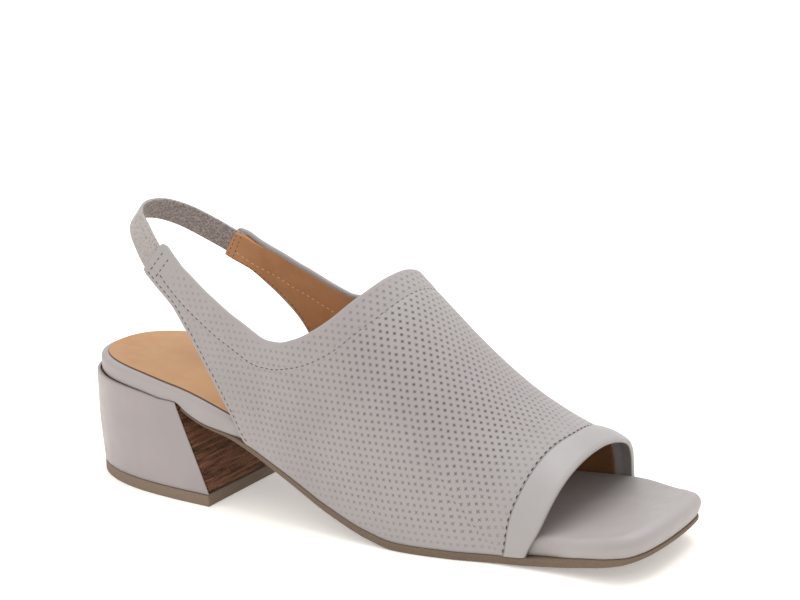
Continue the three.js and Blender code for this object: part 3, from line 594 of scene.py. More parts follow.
def spaced(points, pitch):
    """Places, directions and indices every pitch millimetres along a line of points."""
    lengths = np.concatenate(([0], np.cumsum(np.linalg.norm(np.diff(points, axis=0), axis=1))))
    count = max(1, int(round(lengths[-1] / pitch)))
    wanted = (np.arange(count) + 0.5) * lengths[-1] / count
    place = np.interp(wanted, lengths, np.arange(len(points)))

    def at(t):
        return np.stack([np.interp(t, np.arange(len(points)), points[:, k]) for k in range(3)], -1)

    return at(place), unit(at(place + 0.4) - at(place - 0.4)), place


def stitches(name, material, rows, pitch=2.45, length=1.5, width=0.36, height=0.26):
    """Threads lying along rows of (points, normals), each a small spindle sunk at both ends."""
    bm = bmesh.new()
    for points, normals in rows:
        places, directions, index = spaced(points, pitch)
        ups = np.stack([np.interp(index, np.arange(len(points)), normals[:, k]) for k in range(3)], -1)
        for place, direction, up in zip(metres(places), directions, ups):
            ahead = Vector(direction).normalized()
            side = Vector(up).cross(ahead).normalized()
            matrix = Matrix((ahead, side, ahead.cross(side))).transposed().to_4x4()
            matrix = Matrix.Translation(Vector(place)) @ matrix
            matrix @= Matrix.Diagonal((length / 2000, width / 2000, height / 2000, 1))
            bmesh.ops.create_uvsphere(bm, u_segments=6, v_segments=6, radius=1, matrix=matrix)
    return add_object(name, bm, [material])


# Materials
def linear(code):
    """sRGB hex colour as linear red, green, blue and alpha."""
    parts = [int(code[i:i + 2], 16) / 255 for i in (1, 3, 5)]
    return [p / 12.92 if p <= 0.04045 else ((p + 0.055) / 1.055) ** 2.4 for p in parts] + [1.0]


def add_node(tree, kind, links=(), **settings):
    """A node with its settings; links pairs each input with a value, a node or an output."""
    made = tree.nodes.new(kind)
    for key, value in settings.items():
        setattr(made, key, value)
    for name, source in links:
        if isinstance(source, bpy.types.Node):
            source = source.outputs[2 if source.bl_idname == "ShaderNodeMix" else 0]
        if isinstance(source, bpy.types.NodeSocket):
            tree.links.new(source, made.inputs[name])
        else:
            made.inputs[name].default_value = source
    return made


def new_material(name, roughness, specular=0.5, coat=0.0, coat_roughness=0.3, sheen=0.0):
    made = bpy.data.materials.new(name)
    made.use_nodes = True
    tree = made.node_tree
    shader = tree.nodes["Principled BSDF"]
    for socket, value in (("Roughness", roughness), ("Specular IOR Level", specular), ("Coat Weight", coat),
                          ("Coat Roughness", coat_roughness), ("Sheen Weight", sheen)):
        shader.inputs[socket].default_value = value
    return made, tree, shader


def calc(tree, operation, a, b=0.0, c=0.0):
    return add_node(tree, "ShaderNodeMath", ((0, a), (1, b), (2, c)), operation=operation)


def spread(tree, value, low, high, start=0.0, end=1.0):
    """Value taken smoothly from low..high to start..end."""
    return add_node(tree, "ShaderNodeMapRange", (("Value", value), ("From Min", low), ("From Max", high),
                    ("To Min", start), ("To Max", end)), interpolation_type="SMOOTHSTEP")


def blend_colours(tree, share, a, b):
    return add_node(tree, "ShaderNodeMix", ((0, share), (6, a), (7, b)), data_type="RGBA")


def noise(tree, place, size, detail=2.0, roughness=0.5):
    """Noise with features of a size in millimetres over Object coordinates."""
    return add_node(tree, "ShaderNodeTexNoise", (("Vector", place), ("Scale", 1000 / size),
                    ("Detail", detail), ("Roughness", roughness)))


def cells(tree, place, size, feature="F1"):
    """Voronoi cells of a size in millimetres over Object coordinates."""
    return add_node(
        tree, "ShaderNodeTexVoronoi", (("Vector", place), ("Scale", 1000 / size)), feature=feature)


def raise_surface(tree, shader, height_mm):
    """Bump from a height in millimetres."""
    made = add_node(tree, "ShaderNodeBump", (("Strength", 1.0), ("Distance", 0.001), ("Height", height_mm)))
    tree.links.new(made.outputs[0], shader.inputs["Normal"])


def object_place(tree):
    return add_node(tree, "ShaderNodeTexCoord").outputs["Object"]


def leather(name, light, dark, roughness, grain=0.9, relief=0.02, coat=0.0, sheen=0.0, specular=0.45,
            wrinkle=0.0):
    """Finished leather: pores and fine creases of a grain size in millimetres, and soft clouding.
    A wrinkle height in millimetres makes it a lining: slack folds 7 mm apart, and painted shade
    darkening it towards the toe, where the inside of the shoe lies in shadow."""
    made, tree, shader = new_material(name, roughness, specular, coat, 0.35, sheen)
    place = object_place(tree)
    cloud = spread(tree, noise(tree, place, 38, 3), 0.34, 0.66)
    pores = cells(tree, place, grain, "SMOOTH_F1")
    fine = noise(tree, place, grain * 0.45, 3, 0.6)
    tone = calc(tree, "MULTIPLY_ADD", spread(tree, fine, 0.3, 0.7), 0.25, calc(tree, "MULTIPLY", cloud, 0.75))
    colour = blend_colours(tree, tone, linear(dark), linear(light))
    tree.links.new(colour.outputs[2], shader.inputs["Base Color"])
    height = calc(tree, "MULTIPLY_ADD", pores, relief * 1.2, calc(tree, "MULTIPLY", fine, relief))
    if wrinkle:
        folds = noise(tree, place, 7, 2, 0.6)
        height = calc(tree, "MULTIPLY_ADD", folds, wrinkle, height)
        # the colour is lighter on the crests of the folds
        fold_crest_lightening = calc(tree, "MULTIPLY", spread(tree, folds, 0.42, 0.62), 0.35)
        colour = blend_colours(tree, fold_crest_lightening, colour, linear(light))
        # painted shade: the lining darkens towards the toe, where the inside of the shoe lies in shadow
        forward = add_node(tree, "ShaderNodeSeparateXYZ", ((0, place),)).outputs[0]
        toe_shade = calc(tree, "MULTIPLY", spread(tree, forward, 0.045, 0.080), 0.55)
        colour = blend_colours(tree, toe_shade, colour, linear(LINING_TOE_SHADE))
        tree.links.new(colour.outputs[2], shader.inputs["Base Color"])
    raise_surface(tree, shader, height)
    shine = spread(tree, noise(tree, place, 6, 2), 0.3, 0.7, roughness - 0.05, roughness + 0.06)
    tree.links.new(shine.outputs[0], shader.inputs["Roughness"])
    return made, tree, shader, colour, height


def punched_leather():
    """Soft grey nubuck-like leather, die-punched with small crosses in a staggered grid 4 mm by 3 mm.
    The crosses are painted near-black as the shade inside their pits, and have four short arms."""
    made, tree, shader, colour, height = leather(
        "punched_grey_leather", VAMP_LIGHT, VAMP_DARK, 0.62, grain=0.8, relief=0.022, sheen=0.12)
    flat = add_node(tree, "ShaderNodeUVMap", uv_map="flat_leather")
    axes = add_node(tree, "ShaderNodeSeparateXYZ", ((0, flat),))
    strength = add_node(tree, "ShaderNodeAttribute", attribute_name="punch").outputs["Fac"]
    along = calc(tree, "MULTIPLY", axes.outputs[0], 1000 / PUNCH_ALONG)
    across = calc(tree, "MULTIPLY", axes.outputs[1], 1000 / PUNCH_ACROSS)
    first = calc(tree, "SUBTRACT", calc(tree, "FRACT", calc(tree, "ADD", along, across)), 0.5)
    second = calc(tree, "SUBTRACT", calc(tree, "FRACT", calc(tree, "SUBTRACT", along, across)), 0.5)
    x = calc(tree, "ABSOLUTE", calc(tree, "MULTIPLY", calc(tree, "ADD", first, second), PUNCH_ALONG / 2))
    y = calc(tree, "ABSOLUTE",
             calc(tree, "MULTIPLY", calc(tree, "SUBTRACT", first, second), PUNCH_ACROSS / 2))
    narrow = calc(tree, "MINIMUM", x, y)
    reach = calc(tree, "MAXIMUM", x, y)
    arms = calc(tree, "MULTIPLY",
                spread(tree, narrow, 0.09, 0.20, 1, 0), spread(tree, reach, 0.54, 0.80, 1, 0))
    pit = spread(tree, calc(tree, "ADD", x, y), 0.14, 0.40, 1, 0)
    mark = calc(tree, "MULTIPLY", calc(tree, "MAXIMUM", calc(tree, "MULTIPLY", arms, 0.92), pit), strength)
    place = object_place(tree)
    uneven = spread(tree, noise(tree, place, 2.2, 1), 0.3, 0.7, 0.75, 1.0)
    mark = calc(tree, "MULTIPLY", mark, uneven)
    # painted shade: the punched pits are coloured near-black where shade falls inside them
    pit_shaded = blend_colours(tree, mark, colour, linear(PUNCH_PIT_SHADE))
    tree.links.new(pit_shaded.outputs[2], shader.inputs["Base Color"])
    raise_surface(tree, shader, calc(tree, "MULTIPLY_ADD", mark, -0.22, height))
    return made


def elastic():
    """Elastic webbing faced with grained stretch cloth: matt, dimpled a millimetre apart, with painted
    shade in its dimples and creases. The face towards the foot is darker and more crumpled than the outer
    one."""
    made, tree, shader = new_material("grained_elastic", 0.8, 0.3, sheen=0.15)
    place = object_place(tree)
    inside = add_node(tree, "ShaderNodeAttribute", attribute_name="inside").outputs["Fac"]
    dimples = spread(tree, cells(tree, place, 1.25), 0.16, 0.42, 1, 0)
    wrinkle = noise(tree, place, 0.75, 3, 0.6)
    crumple = calc(tree, "MULTIPLY", spread(tree, wrinkle, 0.34, 0.62, 1, 0),
                   calc(tree, "MULTIPLY_ADD", inside, 0.55, 0.2))
    dimples = calc(tree, "MULTIPLY", dimples, calc(tree, "MULTIPLY_ADD", inside, 0.2, 0.5))
    # painted shade: dimples and creases are coloured darker where they sink
    dark = calc(tree, "MAXIMUM", dimples, crumple)
    base = blend_colours(tree, inside, linear(ELASTIC_OUTER), linear(ELASTIC_INNER))
    colour = blend_colours(tree, dark, base, linear(ELASTIC_HOLLOW_SHADE))
    tree.links.new(colour.outputs[2], shader.inputs["Base Color"])
    raise_surface(tree, shader, calc(tree, "MULTIPLY", dark, -0.22))
    return made


def stacked_leather():
    """Heel block of pressed leather lifts: thin level layers of uneven browns with rough cut edges,
    reddish fibre flecks, one paler layer above the lift, and painted shade towards the top."""
    made, tree, shader = new_material("stacked_heel_leather", 0.72, 0.25)
    place = object_place(tree)
    layers = add_node(tree, "ShaderNodeMapping", (("Vector", place), ("Scale", (0.045, 0.045, 1.0))))
    coarse = noise(tree, layers, 1.1, 4, 0.72)
    fine = noise(tree, layers, 0.42, 2, 0.7)
    fleck = noise(tree, place, 0.55, 2, 0.7)
    tone = calc(tree, "MULTIPLY_ADD", spread(tree, coarse, 0.40, 0.60), 0.52,
                calc(tree, "MULTIPLY", spread(tree, fine, 0.40, 0.60), 0.30))
    tone = calc(tree, "MULTIPLY_ADD", spread(tree, fleck, 0.46, 0.64), 0.42, tone)
    height = add_node(tree, "ShaderNodeSeparateXYZ", ((0, place),)).outputs[2]
    # painted shade: the block darkens towards its top, in the shadow under the sole
    tone = calc(tree, "MULTIPLY", tone, spread(tree, height, 0.012, 0.040, 1.0, 0.8))
    colour = blend_colours(tree, tone, linear(CORE_DARK), linear(CORE_LIGHT))
    from_line = calc(tree, "ABSOLUTE", calc(tree, "SUBTRACT", height, 0.0072))
    lift_line = spread(tree, from_line, 0.0001, 0.0003, 1, 0)
    colour = blend_colours(tree, calc(tree, "MULTIPLY", lift_line, 0.45), colour, linear(CORE_LINE))
    tree.links.new(colour.outputs[2], shader.inputs["Base Color"])
    raise_surface(tree, shader, calc(tree, "MULTIPLY_ADD", fine, 0.10, calc(tree, "MULTIPLY", fleck, 0.10)))
    return made


def sole_rubber(name, light, dark, roughness=0.78):
    """Moulded resin rubber: dull taupe with a fine buffed speckle."""
    made, tree, shader = new_material(name, roughness, 0.35)
    place = object_place(tree)
    speck = noise(tree, place, 0.55, 3, 0.7)
    cloud = noise(tree, place, 18, 2)
    tone = calc(tree, "MULTIPLY_ADD", spread(tree, speck, 0.3, 0.7), 0.6, calc(tree, "MULTIPLY", cloud, 0.4))
    colour = blend_colours(tree, tone, linear(dark), linear(light))
    tree.links.new(colour.outputs[2], shader.inputs["Base Color"])
    raise_surface(tree, shader, calc(tree, "MULTIPLY", speck, 0.06))
    return made


def thread(name, light, dark):
    """Twisted polyester thread: slightly glossy, with a fine twist that breaks the tone."""
    made, tree, shader = new_material(name, 0.55, 0.4)
    place = object_place(tree)
    twist = spread(tree, noise(tree, place, 0.35, 1), 0.35, 0.65)
    colour = blend_colours(tree, twist, linear(dark), linear(light))
    tree.links.new(colour.outputs[2], shader.inputs["Base Color"])
    raise_surface(tree, shader, calc(tree, "MULTIPLY", twist, 0.05))
    return made


def studio_card():
    """Matt white translucent card, lit a little from below as on a photographer's light table."""
    made, tree, shader = new_material("studio_card", 0.6, 0.2)
    shader.inputs["Emission Color"].default_value = (1.0, 1.0, 1.0, 1.0)
    shader.inputs["Emission Strength"].default_value = 0.30
    place = object_place(tree)
    tooth = noise(tree, place, 3, 2)
    colour = blend_colours(tree, spread(tree, tooth, 0.3, 0.7), linear("#f6f0e8"), linear("#f9f4ed"))
    tree.links.new(colour.outputs[2], shader.inputs["Base Color"])
    raise_surface(tree, shader, calc(tree, "MULTIPLY", tooth, 0.01))
    return made


LINING_TOE_SHADE = "#4c3018"
VAMP_LIGHT = "#979291"
VAMP_DARK = "#918b8a"
PUNCH_PIT_SHADE = "#1a1514"
PUNCH_ALONG = 4.0
PUNCH_ACROSS = 3.0
ELASTIC_OUTER = "#a19a97"
ELASTIC_INNER = "#9f9896"
ELASTIC_HOLLOW_SHADE = "#5b5350"
CORE_LIGHT = "#8f6145"
CORE_DARK = "#28180f"
CORE_LINE = "#a87a52"

punched = punched_leather()
smooth_grey = leather(
    "smooth_grey_leather", "#9b9796", "#948f8e", 0.46, grain=0.5, relief=0.008, coat=0.08)[0]
heel_grey = leather("heel_cover_leather", "#968d8d", "#8e8686", 0.42, grain=0.5, relief=0.006, coat=0.12)[0]
footbed_grey = leather("footbed_grey_leather", "#9a9493", "#928c8a", 0.52, grain=0.7, relief=0.014)[0]
caramel_sock = leather("caramel_sock_leather", "#aa8158", "#a1744a", 0.55, grain=0.8, relief=0.012)[0]
caramel_lining = leather(
    "caramel_lining_leather", "#ad7c51", "#966740", 0.58, grain=0.8, relief=0.014, wrinkle=0.22)[0]
raw_edge = leather("raw_leather_edge", "#a79c93", "#91867d", 0.75, grain=0.4, relief=0.03)[0]
# dark brown cut edge, which is also painted shadow of the gap round the heel sock
dark_edge_and_gap_shade = leather("dark_cut_edge_with_painted_gap_shade", "#5f4130", "#462e20", 0.6, grain=0.4, relief=0.02)[0]
webbing = elastic()
heel_stack = stacked_leather()
outsole_rubber = sole_rubber("taupe_outsole_rubber", "#716150", "#5f5044")
lift_rubber = sole_rubber("taupe_lift_rubber", "#81705f", "#6f5f53")
# dark grey thread whose near-black is also painted shade of the stitch holes
hole_shaded_thread = thread("dark_thread_with_painted_hole_shade", "#231f1f", "#151212")
cream_thread = thread("cream_thread", "#d9bd93", "#c2a276")
brown_thread = thread("brown_thread", "#6d4325", "#4f2f1a")


# Upper
UPPER_LINES = 28 * 8
UPPER_ROWS = 88
TAB_LEATHER = 0.95
VAMP_LEATHER = 1.05
FOLD_THICK = 1.75


def rounded_tab(line, share):
    """Pulls the square corners of the two tabs onto a small radius."""
    collar = from_collar(line, share)
    rim = from_rim(line, share)
    end = from_tab_end(line, share)
    width = collar + rim
    for radius, side, sign in ((1.5, collar, 1), (0.9, rim, -1)):
        a = radius - end
        b = radius - side
        inside = (a > 0) & (b > 0)
        size = np.hypot(a, b)
        pull = np.where(inside, np.maximum(a, b) / np.maximum(size, 1e-6), 1)
        line_step = a * (1 - pull) / 12.0
        line = np.where(inside, line + np.where(line < 14, line_step, -line_step), line)
        share = np.where(inside, share + sign * b * (1 - pull) / np.maximum(width, 1), share)
    return line, np.clip(share, 0, 1)


# how much the fold's round edge eats into the pattern's collar, from the outer tab to the inner one
collar_trim = curve((0, 0.3, 0.6, 1.0, 1.4, 5, 6, 7.2, 8, 11, 12, 13, 15, 17, 28),
                    (0.1, 0.8, 1.05, 0.3, 0, 0, 0.45, 0.15, 0, 0, 0.3, 0.55, 0.55, 0, 0))
trim_lines = np.linspace(0, LAST_LINE, 113)
collar_start = curve(trim_lines, share_at(trim_lines, collar_trim(trim_lines)))


def upper_place(u, v):
    low = collar_start(u * LAST_LINE)
    return rounded_tab(u * LAST_LINE, low + (1 - low) * v ** 1.25)


def upper_at(line, share, depth):
    along, turn = cut(line, share)
    return skin(along, turn, depth - upper_relief(line, share))


def outer_leather_thickness(line, share):
    """Full wall where the leather is folded over at the collar and the wing's rear, thin inside."""
    wall = wall_at(line, share)
    thin = VAMP_LEATHER + (TAB_LEATHER - VAMP_LEATHER) * tab_share(cut(line, share)[0])
    fold = 1 - ease(0.8, 1.5, from_collar(line, share) - collar_trim(line))
    rear = wing(line) * (1 - ease(0.4, 0.9, from_rim(line, share)))
    open_end = ease(0.6, 1.8, from_tab_end(line, share))
    return thin + (np.minimum(wall, FOLD_THICK) - thin) * np.maximum(fold, rear) * open_end


def upper_face(u, v):
    return upper_at(*upper_place(u, v), 0)


def upper_depth(u, v, depth):
    return upper_at(*upper_place(u, v), depth)


def upper_thickness(u, v):
    return outer_leather_thickness(*upper_place(u, v))


def upper_swell(u, v):
    line, share = upper_place(u, v)
    folded = (v < 1e-6) | (u < 1e-6) | (u > 1 - 1e-6) | (wing(line) > 0.5)
    return np.where(folded, np.minimum(0.76, 0.5 * upper_thickness(u, v)), 0.0)


def lay_flat():
    """The cutting pattern laid flat without shearing it, so that the punched grid stays square.
    Least squares over small triangles of the upper; x runs from the collar to the toe."""
    line_grid = np.linspace(0, LAST_LINE, 57)
    share_grid = np.linspace(0, 1, 15)
    points = last_point(*cut(line_grid[:, None] + 0 * share_grid, 0 * line_grid[:, None] + share_grid))
    rows, columns = points.shape[:2]
    index = np.arange(rows * columns).reshape(rows, columns)
    a, b = index[:-1, :-1].ravel(), index[1:, :-1].ravel()
    c, d = index[1:, 1:].ravel(), index[:-1, 1:].ravel()
    corners = np.vstack((np.stack((a, b, c), -1), np.stack((a, c, d), -1)))
    flat_points = points.reshape(-1, 3)
    p, q, r = (flat_points[corners[:, k]] for k in range(3))
    base = np.linalg.norm(q - p, axis=1)
    axis = (q - p) / base[:, None]
    x = ((r - p) * axis).sum(1)
    y = np.linalg.norm(r - p - axis * x[:, None], axis=1)
    weight = 1 / np.sqrt(base * y)
    system = np.zeros((len(corners), len(flat_points)), complex)
    count = np.arange(len(corners))
    system[count, corners[:, 0]] = (x + 1j * y - base) * weight
    system[count, corners[:, 1]] = -(x + 1j * y) * weight
    system[count, corners[:, 2]] = base * weight
    fixed = [index[28, 0], index[28, -1]]
    ridge = np.linalg.norm(np.diff(points[28], axis=0), axis=1).sum()
    free = np.setdiff1d(np.arange(len(flat_points)), fixed)
    flat = np.zeros(len(flat_points), complex)
    flat[fixed[1]] = ridge
    flat[free] = np.linalg.lstsq(system[:, free], -system[:, fixed] @ flat[fixed], rcond=None)[0]
    flat = flat.reshape(rows, columns)

    def refine(values):
        wide = np.stack([curve(share_grid, row, swing=True)(TABLE_SHARES) for row in values])
        return np.stack([curve(line_grid, column, swing=True)(TABLE_LINES) for column in wide.T], -1)

    return refine(flat.real) * 0.001, refine(flat.imag) * 0.001


flat_along, flat_across = lay_flat()


def upper_chart(u, v):
    place = upper_place(u, v)
    return np.stack((look_up(flat_along, *place), look_up(flat_across, *place)), -1)


def punch_strength(u, v, depth):
    """Crosses are crisp over the mid vamp and grow faint towards edges, tabs and sole."""
    line, share = upper_place(u, v)
    along, turn = cut(line, share)
    collar = from_collar(line, share)
    rim = from_rim(line, share)
    crisp = np.exp(-((turn - 0.34) / 0.20) ** 2) * ease(0.44, 0.58, along)
    crisp = crisp * (1 - 0.6 * ease(0.74, 0.80, along))
    crisp = np.maximum(crisp, 0.55 * np.exp(-((turn - 0.66) / 0.20) ** 2) * ease(0.44, 0.58, along))
    seam = seam_distance(line)
    beyond = ease(-0.8, 0.8, collar - seam)
    band = 0.46 + 0.14 * ease(0.5, 0.56, along)
    strength = (0.52 + 0.48 * crisp) * beyond + band * (1 - beyond)
    strength = strength * (0.55 + 0.45 * ease(2.0, 14.0, rim))
    strength = strength * (0.72 + 0.28 * ease(2.5, 6.5, line) * (1 - ease(21.5, 25.5, line)))
    clear = ease(0.6, 2.0, collar) * ease(0.6, 2.0, rim) * ease(8, 14, from_tab_end(line, share))
    clear = clear * (1 - bump(seam, 0.9, collar))
    return strength * clear * (depth < 1e-6)


upper = closed_sheet(
    "upper_leather", [punched], UPPER_LINES, UPPER_ROWS,
    upper_face, lambda u, v: upper_depth(u, v, upper_thickness(u, v)),
    round_edge(upper_depth, upper_thickness, upper_swell), chart=upper_chart, marks={"punch": punch_strength})

# lining, a little short of every folded edge
LINING_LINES = 28 * 4
LINING_ROWS = 48
LINING_THICK = 0.85
COLLAR_FOLD = 1.25
lining_lines = np.linspace(0, LAST_LINE, 113)
lining_from = curve(lining_lines, share_at(lining_lines, COLLAR_FOLD + collar_trim(lining_lines)))
lining_to = curve(lining_lines, share_at(lining_lines, -0.02 - 0.78 * wing(lining_lines)))
TAB_MARGIN = 0.055


def lining_place(u, v):
    line = TAB_MARGIN + u * (LAST_LINE - 2 * TAB_MARGIN)
    low = lining_from(line)
    return rounded_tab(line, low + v ** 1.2 * (lining_to(line) - low))


def lining_at(u, v, depth):
    """Depth 0 is the glued side, LINING_THICK the side that shows. Beside the strap it is padded out."""
    line, share = lining_place(u, v)
    collar, rim = from_collar(line, share), from_rim(line, share)
    seam = bump(seam_distance(line), 0.5, collar)
    wall = wall_at(line, share)
    fold = collar - collar_trim(line)
    beside = np.maximum(1 - ease(1.4, 1.9, fold), (1 - ease(1.1, 1.6, rim)) * wing(line))
    glued = wall - LINING_THICK - beside * np.maximum(wall - LINING_THICK - 1.5, 0)
    along, turn = cut(line, share)
    return skin(along, turn, glued + (wall - glued) * depth / LINING_THICK * (1 - 0.3 * seam / wall))


lining = closed_sheet(
    "lining", [caramel_lining], LINING_LINES, LINING_ROWS,
    lambda u, v: lining_at(u, v, 0), lambda u, v: lining_at(u, v, LINING_THICK),
    round_edge(lining_at, lambda u, v: LINING_THICK + 0 * u, lambda u, v: 0.3 + 0 * u, 4))


def seam_row(line, share, depth, lift):
    """Points on the leather along pattern places, with the way its surface faces there."""
    along, turn = cut(line, share)
    out = -inward(along, turn)
    return upper_at(line, share, depth) + out * lift, out


def dense(first, last, count=260):
    return np.linspace(first, last, count)


def tab_rows():
    """Two stitched rows across the end of each tab."""
    rows = []
    for base, step in ((0.0, 1.0), (float(LAST_LINE), -1.0)):
        for from_end in (0.17, 0.42):
            line = np.full(60, base + step * from_end)
            first, last = share_at(line[:1], 2.2)[0], share_at(line[:1], -2.0)[0]
            rows.append(seam_row(line, np.linspace(first, last, 60), 0, 0.02))
    return rows


line = dense(0.45, 27.55, 900)
collar_seam = seam_row(line, share_at(line, seam_distance(line)), 0, 0.02)
outer_rear = dense(0.1, 4.9)
inner_rear = dense(23.1, 27.9)
rear_seams = [seam_row(rear, share_at(rear, -1.1 + 0 * rear), 0, 0.02) for rear in (outer_rear, inner_rear)]
line = dense(10.05, 17.95, 500)
toe_seam = seam_row(line, share_at(line, -0.75 + 0 * line), 0, 0.05)
upper_stitches = stitches("upper_stitches", hole_shaded_thread, [collar_seam, *rear_seams, *tab_rows()])
toe_stitches = stitches("toe_seam_stitches", hole_shaded_thread, [toe_seam], pitch=2.9, length=1.7, width=0.55)


def lining_row(line, share):
    along, turn = cut(line, share)
    inner = inward(along, turn)
    return skin(along, turn, wall_at(line, share) - 0.02), inner


line = dense(0.45, 27.55, 900)
lining_rows = [lining_row(line, share_at(line, seam_distance(line)))]
lining_stitches = stitches("lining_stitches", cream_thread, lining_rows, length=1.45, width=0.38)
toe_line = dense(10.3, 17.7, 300)
edge_rows = [lining_row(rear, share_at(rear, -1.2 + 0 * rear)) for rear in (outer_rear, inner_rear)]
edge_rows += [
    lining_row(np.full(60, base), np.linspace(0.08, 0.9, 60)) for base in (0.16, 0.42, 27.58, 27.84)]
edge_rows.append(lining_row(toe_line, share_at(toe_line, -1.4 + 0 * toe_line)))
lining_edge_stitches = stitches(
    "lining_edge_stitches", brown_thread, edge_rows, pitch=2.2, length=1.3, width=0.42)

# Toe band
band_front = curve(BAND_FRONT[:, 0], BAND_FRONT[:, 1])
BAND_PUFF = 0.12
BAND_LIP = 0.5
# the band stands further off the last on its inner side
band_stand = curve((0, 0.35, 0.5, 0.62, 0.75, 1), (0, 0, 0.3, 0.8, 1.15, 1.05))


def band_at(u, v, depth):
    line = TOE_SEAM[0] + u * (TOE_SEAM[1] - TOE_SEAM[0])
    turn = rim_round(line)
    seam = rim_along(line) - 0.05 / LENGTH
    width = (band_front(turn) - seam) * LENGTH - BAND_LIP
    along = seam + width / LENGTH * v
    from_seam = v * width
    outer_share = 1 - depth / BAND_WALL
    relief = BAND_STEP + BAND_PUFF * np.sin(np.pi * np.clip(v, 0, 1)) ** 0.7 * outer_share
    relief = relief - 0.22 * np.exp(-(from_seam / 0.45) ** 2) * outer_share
    relief = relief - 0.30 * np.exp(-((width - from_seam) / 0.7) ** 2) * outer_share
    relief = relief + band_stand(turn) * (0.45 + 0.55 * ease(0, 0.5, v))
    return skin(along, turn, depth - relief)


def band_thickness(u, v):
    return BAND_WALL + 0 * u


band = closed_sheet(
    "toe_band_leather", [smooth_grey], 168, 30,
    lambda u, v: band_at(u, v, 0), lambda u, v: band_at(u, v, BAND_WALL),
    round_edge(band_at, band_thickness,
               lambda u, v: np.where((v > 1 - 1e-6) & (u > 1e-6) & (u < 1 - 1e-6), 0.40, 0.0), 7))

# Footbed, sock, outsole
seat_edge = curve(BED_EDGE[:, 0], BED_EDGE[:, 1])
toe_edge = curve(BED_EDGE[:, 0], BED_EDGE[:, 2])
whole_plan = Plan()


def on_plan(plan, u, v, out, tuck, under, over, rise, relief=None):
    """Points over a plan moved outward by out and inward by tuck, between two heights."""
    spot = plan.at(u, v, out, tuck)
    low, high = under(spot[:, 0]), over(spot[:, 0])
    height = low + (high - low) * rise
    if relief:
        height = height + relief(spot[:, 0], spot[:, 1]) * rise
    return np.column_stack((spot, height))


def padding(x, y):
    """Soft foam under the leather: a faint crown, and hollows where heel and ball rest."""
    across = np.clip(np.abs(y) / 34, 0, 1)
    crown = 0.35 * (1 - across ** 2) * ease(140, 200, x)
    ball = -0.35 * bump(168, 26, x) * np.exp(-((y - 2) / 22) ** 2)
    heel = -0.30 * bump(30, 22, x) * np.exp(-(y / 16) ** 2)
    return crown + ball + heel


def bed_level(rise):
    """Footbed at a share of its thickness. Its edge rolls over a wider round towards the toe."""
    def inset(x):
        toe = ease(205, 232, x)
        corner = 1 + 0.35 * ease(236, 247, x)
        return bed_tuck(x) - float(seat_edge(rise)) * (1 - toe) - float(toe_edge(rise)) * toe * corner

    return lambda u, v, outward=None: on_plan(
        whole_plan, u, v, 0.0, inset, bed_under, bed_top, rise, padding)


bed_rises = 1 - np.linspace(0, 1, 16)[1:-1]
bed_rises = np.where(bed_rises > 0.5, 1 - (1 - bed_rises) ** 1.5 * 2 ** 0.5, bed_rises)
footbed = closed_sheet(
    "footbed_padding", [footbed_grey], 160, 40, bed_level(1), bed_level(0),
    [bed_level(rise) for rise in bed_rises])

SOCK_FRONT = 0.6
sock_plan = Plan(to_x=SOCK_FRONT * LENGTH)


def sock_level(rise, out):
    return lambda u, v, outward=None: on_plan(
        sock_plan, u, v, out, lambda x: 3 - 1.5 * bump(50, 26, x) + bed_tuck(x), lambda x: bed_top(x) - 0.1,
        lambda x: bed_top(x) + 0.55, rise, padding)


# the sock's sides take the dark edge colour: partly the cut edge's own colour, partly painted shadow of the
# gap round the sock
sock = closed_sheet(
    "heel_sock", [caramel_sock, dark_edge_and_gap_shade], 110, 32, sock_level(1, -0.25), sock_level(0, 0.1),
    [sock_level(0.97, -0.1), sock_level(0.85, 0.0), sock_level(0.5, 0.05), sock_level(0.2, 0.1)],
    pick=lambda u, v, depth: int(0.12 < depth < 0.99))

BREAST_TOP = 50
LIFT_FRONT = 66.3
LIFT_BACK = -2.4
LIFT_FLARE = 0.114
breast_lean = (LIFT_FRONT - BREAST_TOP) / (float(underside(BREAST_TOP)) - LIFT_THICK)
sole_plan = Plan(from_x=BREAST_TOP + 2 * GAP + breast_lean * OUTSOLE_THICK)


def sole_level(rise, out):
    return lambda u, v, outward=None: on_plan(
        sole_plan, u, v, out, None, underside, outsole_top, rise)


outsole = closed_sheet(
    "outsole_sheet", [outsole_rubber], 140, 24, sole_level(1, -0.5), sole_level(0, -0.8),
    [sole_level(rise, out) for rise, out in (
        (0.97, -0.3), (0.90, -0.15), (0.60, -0.1), (0.52, -0.2), (0.44, -0.1), (0.22, -0.1), (0.08, -0.3))])

# Heel
COVER_PROUD = 2.0
COVER_FLUSH = 0.75
COVER_BELLY = 0.9
heel_run = outline_run(outline_row(BREAST_TOP, 1) - OUTLINE_ROWS, outline_row(BREAST_TOP, -1))


def heel_point(t, height, inset):
    """Side of the heel block: t runs from the outer breast edge round the back to the inner one."""
    point, outward = heel_run(1 - t)
    share = point[..., 0] / BREAST_TOP
    height = height * np.ones(share.shape)
    belly = COVER_BELLY * bump(0.45, 0.45, height) * (1 - share)
    reach = COVER_PROUD * (1 - COVER_FLUSH * share) - inset
    top = point + outward * reach[..., None]
    foot = np.stack(
        (LIFT_BACK + (LIFT_FRONT - LIFT_BACK) * share, point[..., 1] * (1 + LIFT_FLARE * share)), -1)
    bottom = foot - outward * np.reshape(inset * np.ones(share.shape), share.shape + (1,))
    side = bottom + (top - bottom) * height[..., None] + outward * belly[..., None]
    roof = bed_under(top[..., 0]) - 0.05
    low = LIFT_THICK + GAP
    return np.concatenate((side, (low + (roof - low) * height)[..., None]), -1)


cover_turn = curve((0, 0.90, 0.95, 0.985, 1.0), (0, 0, 0.05, 0.12, 0.3))


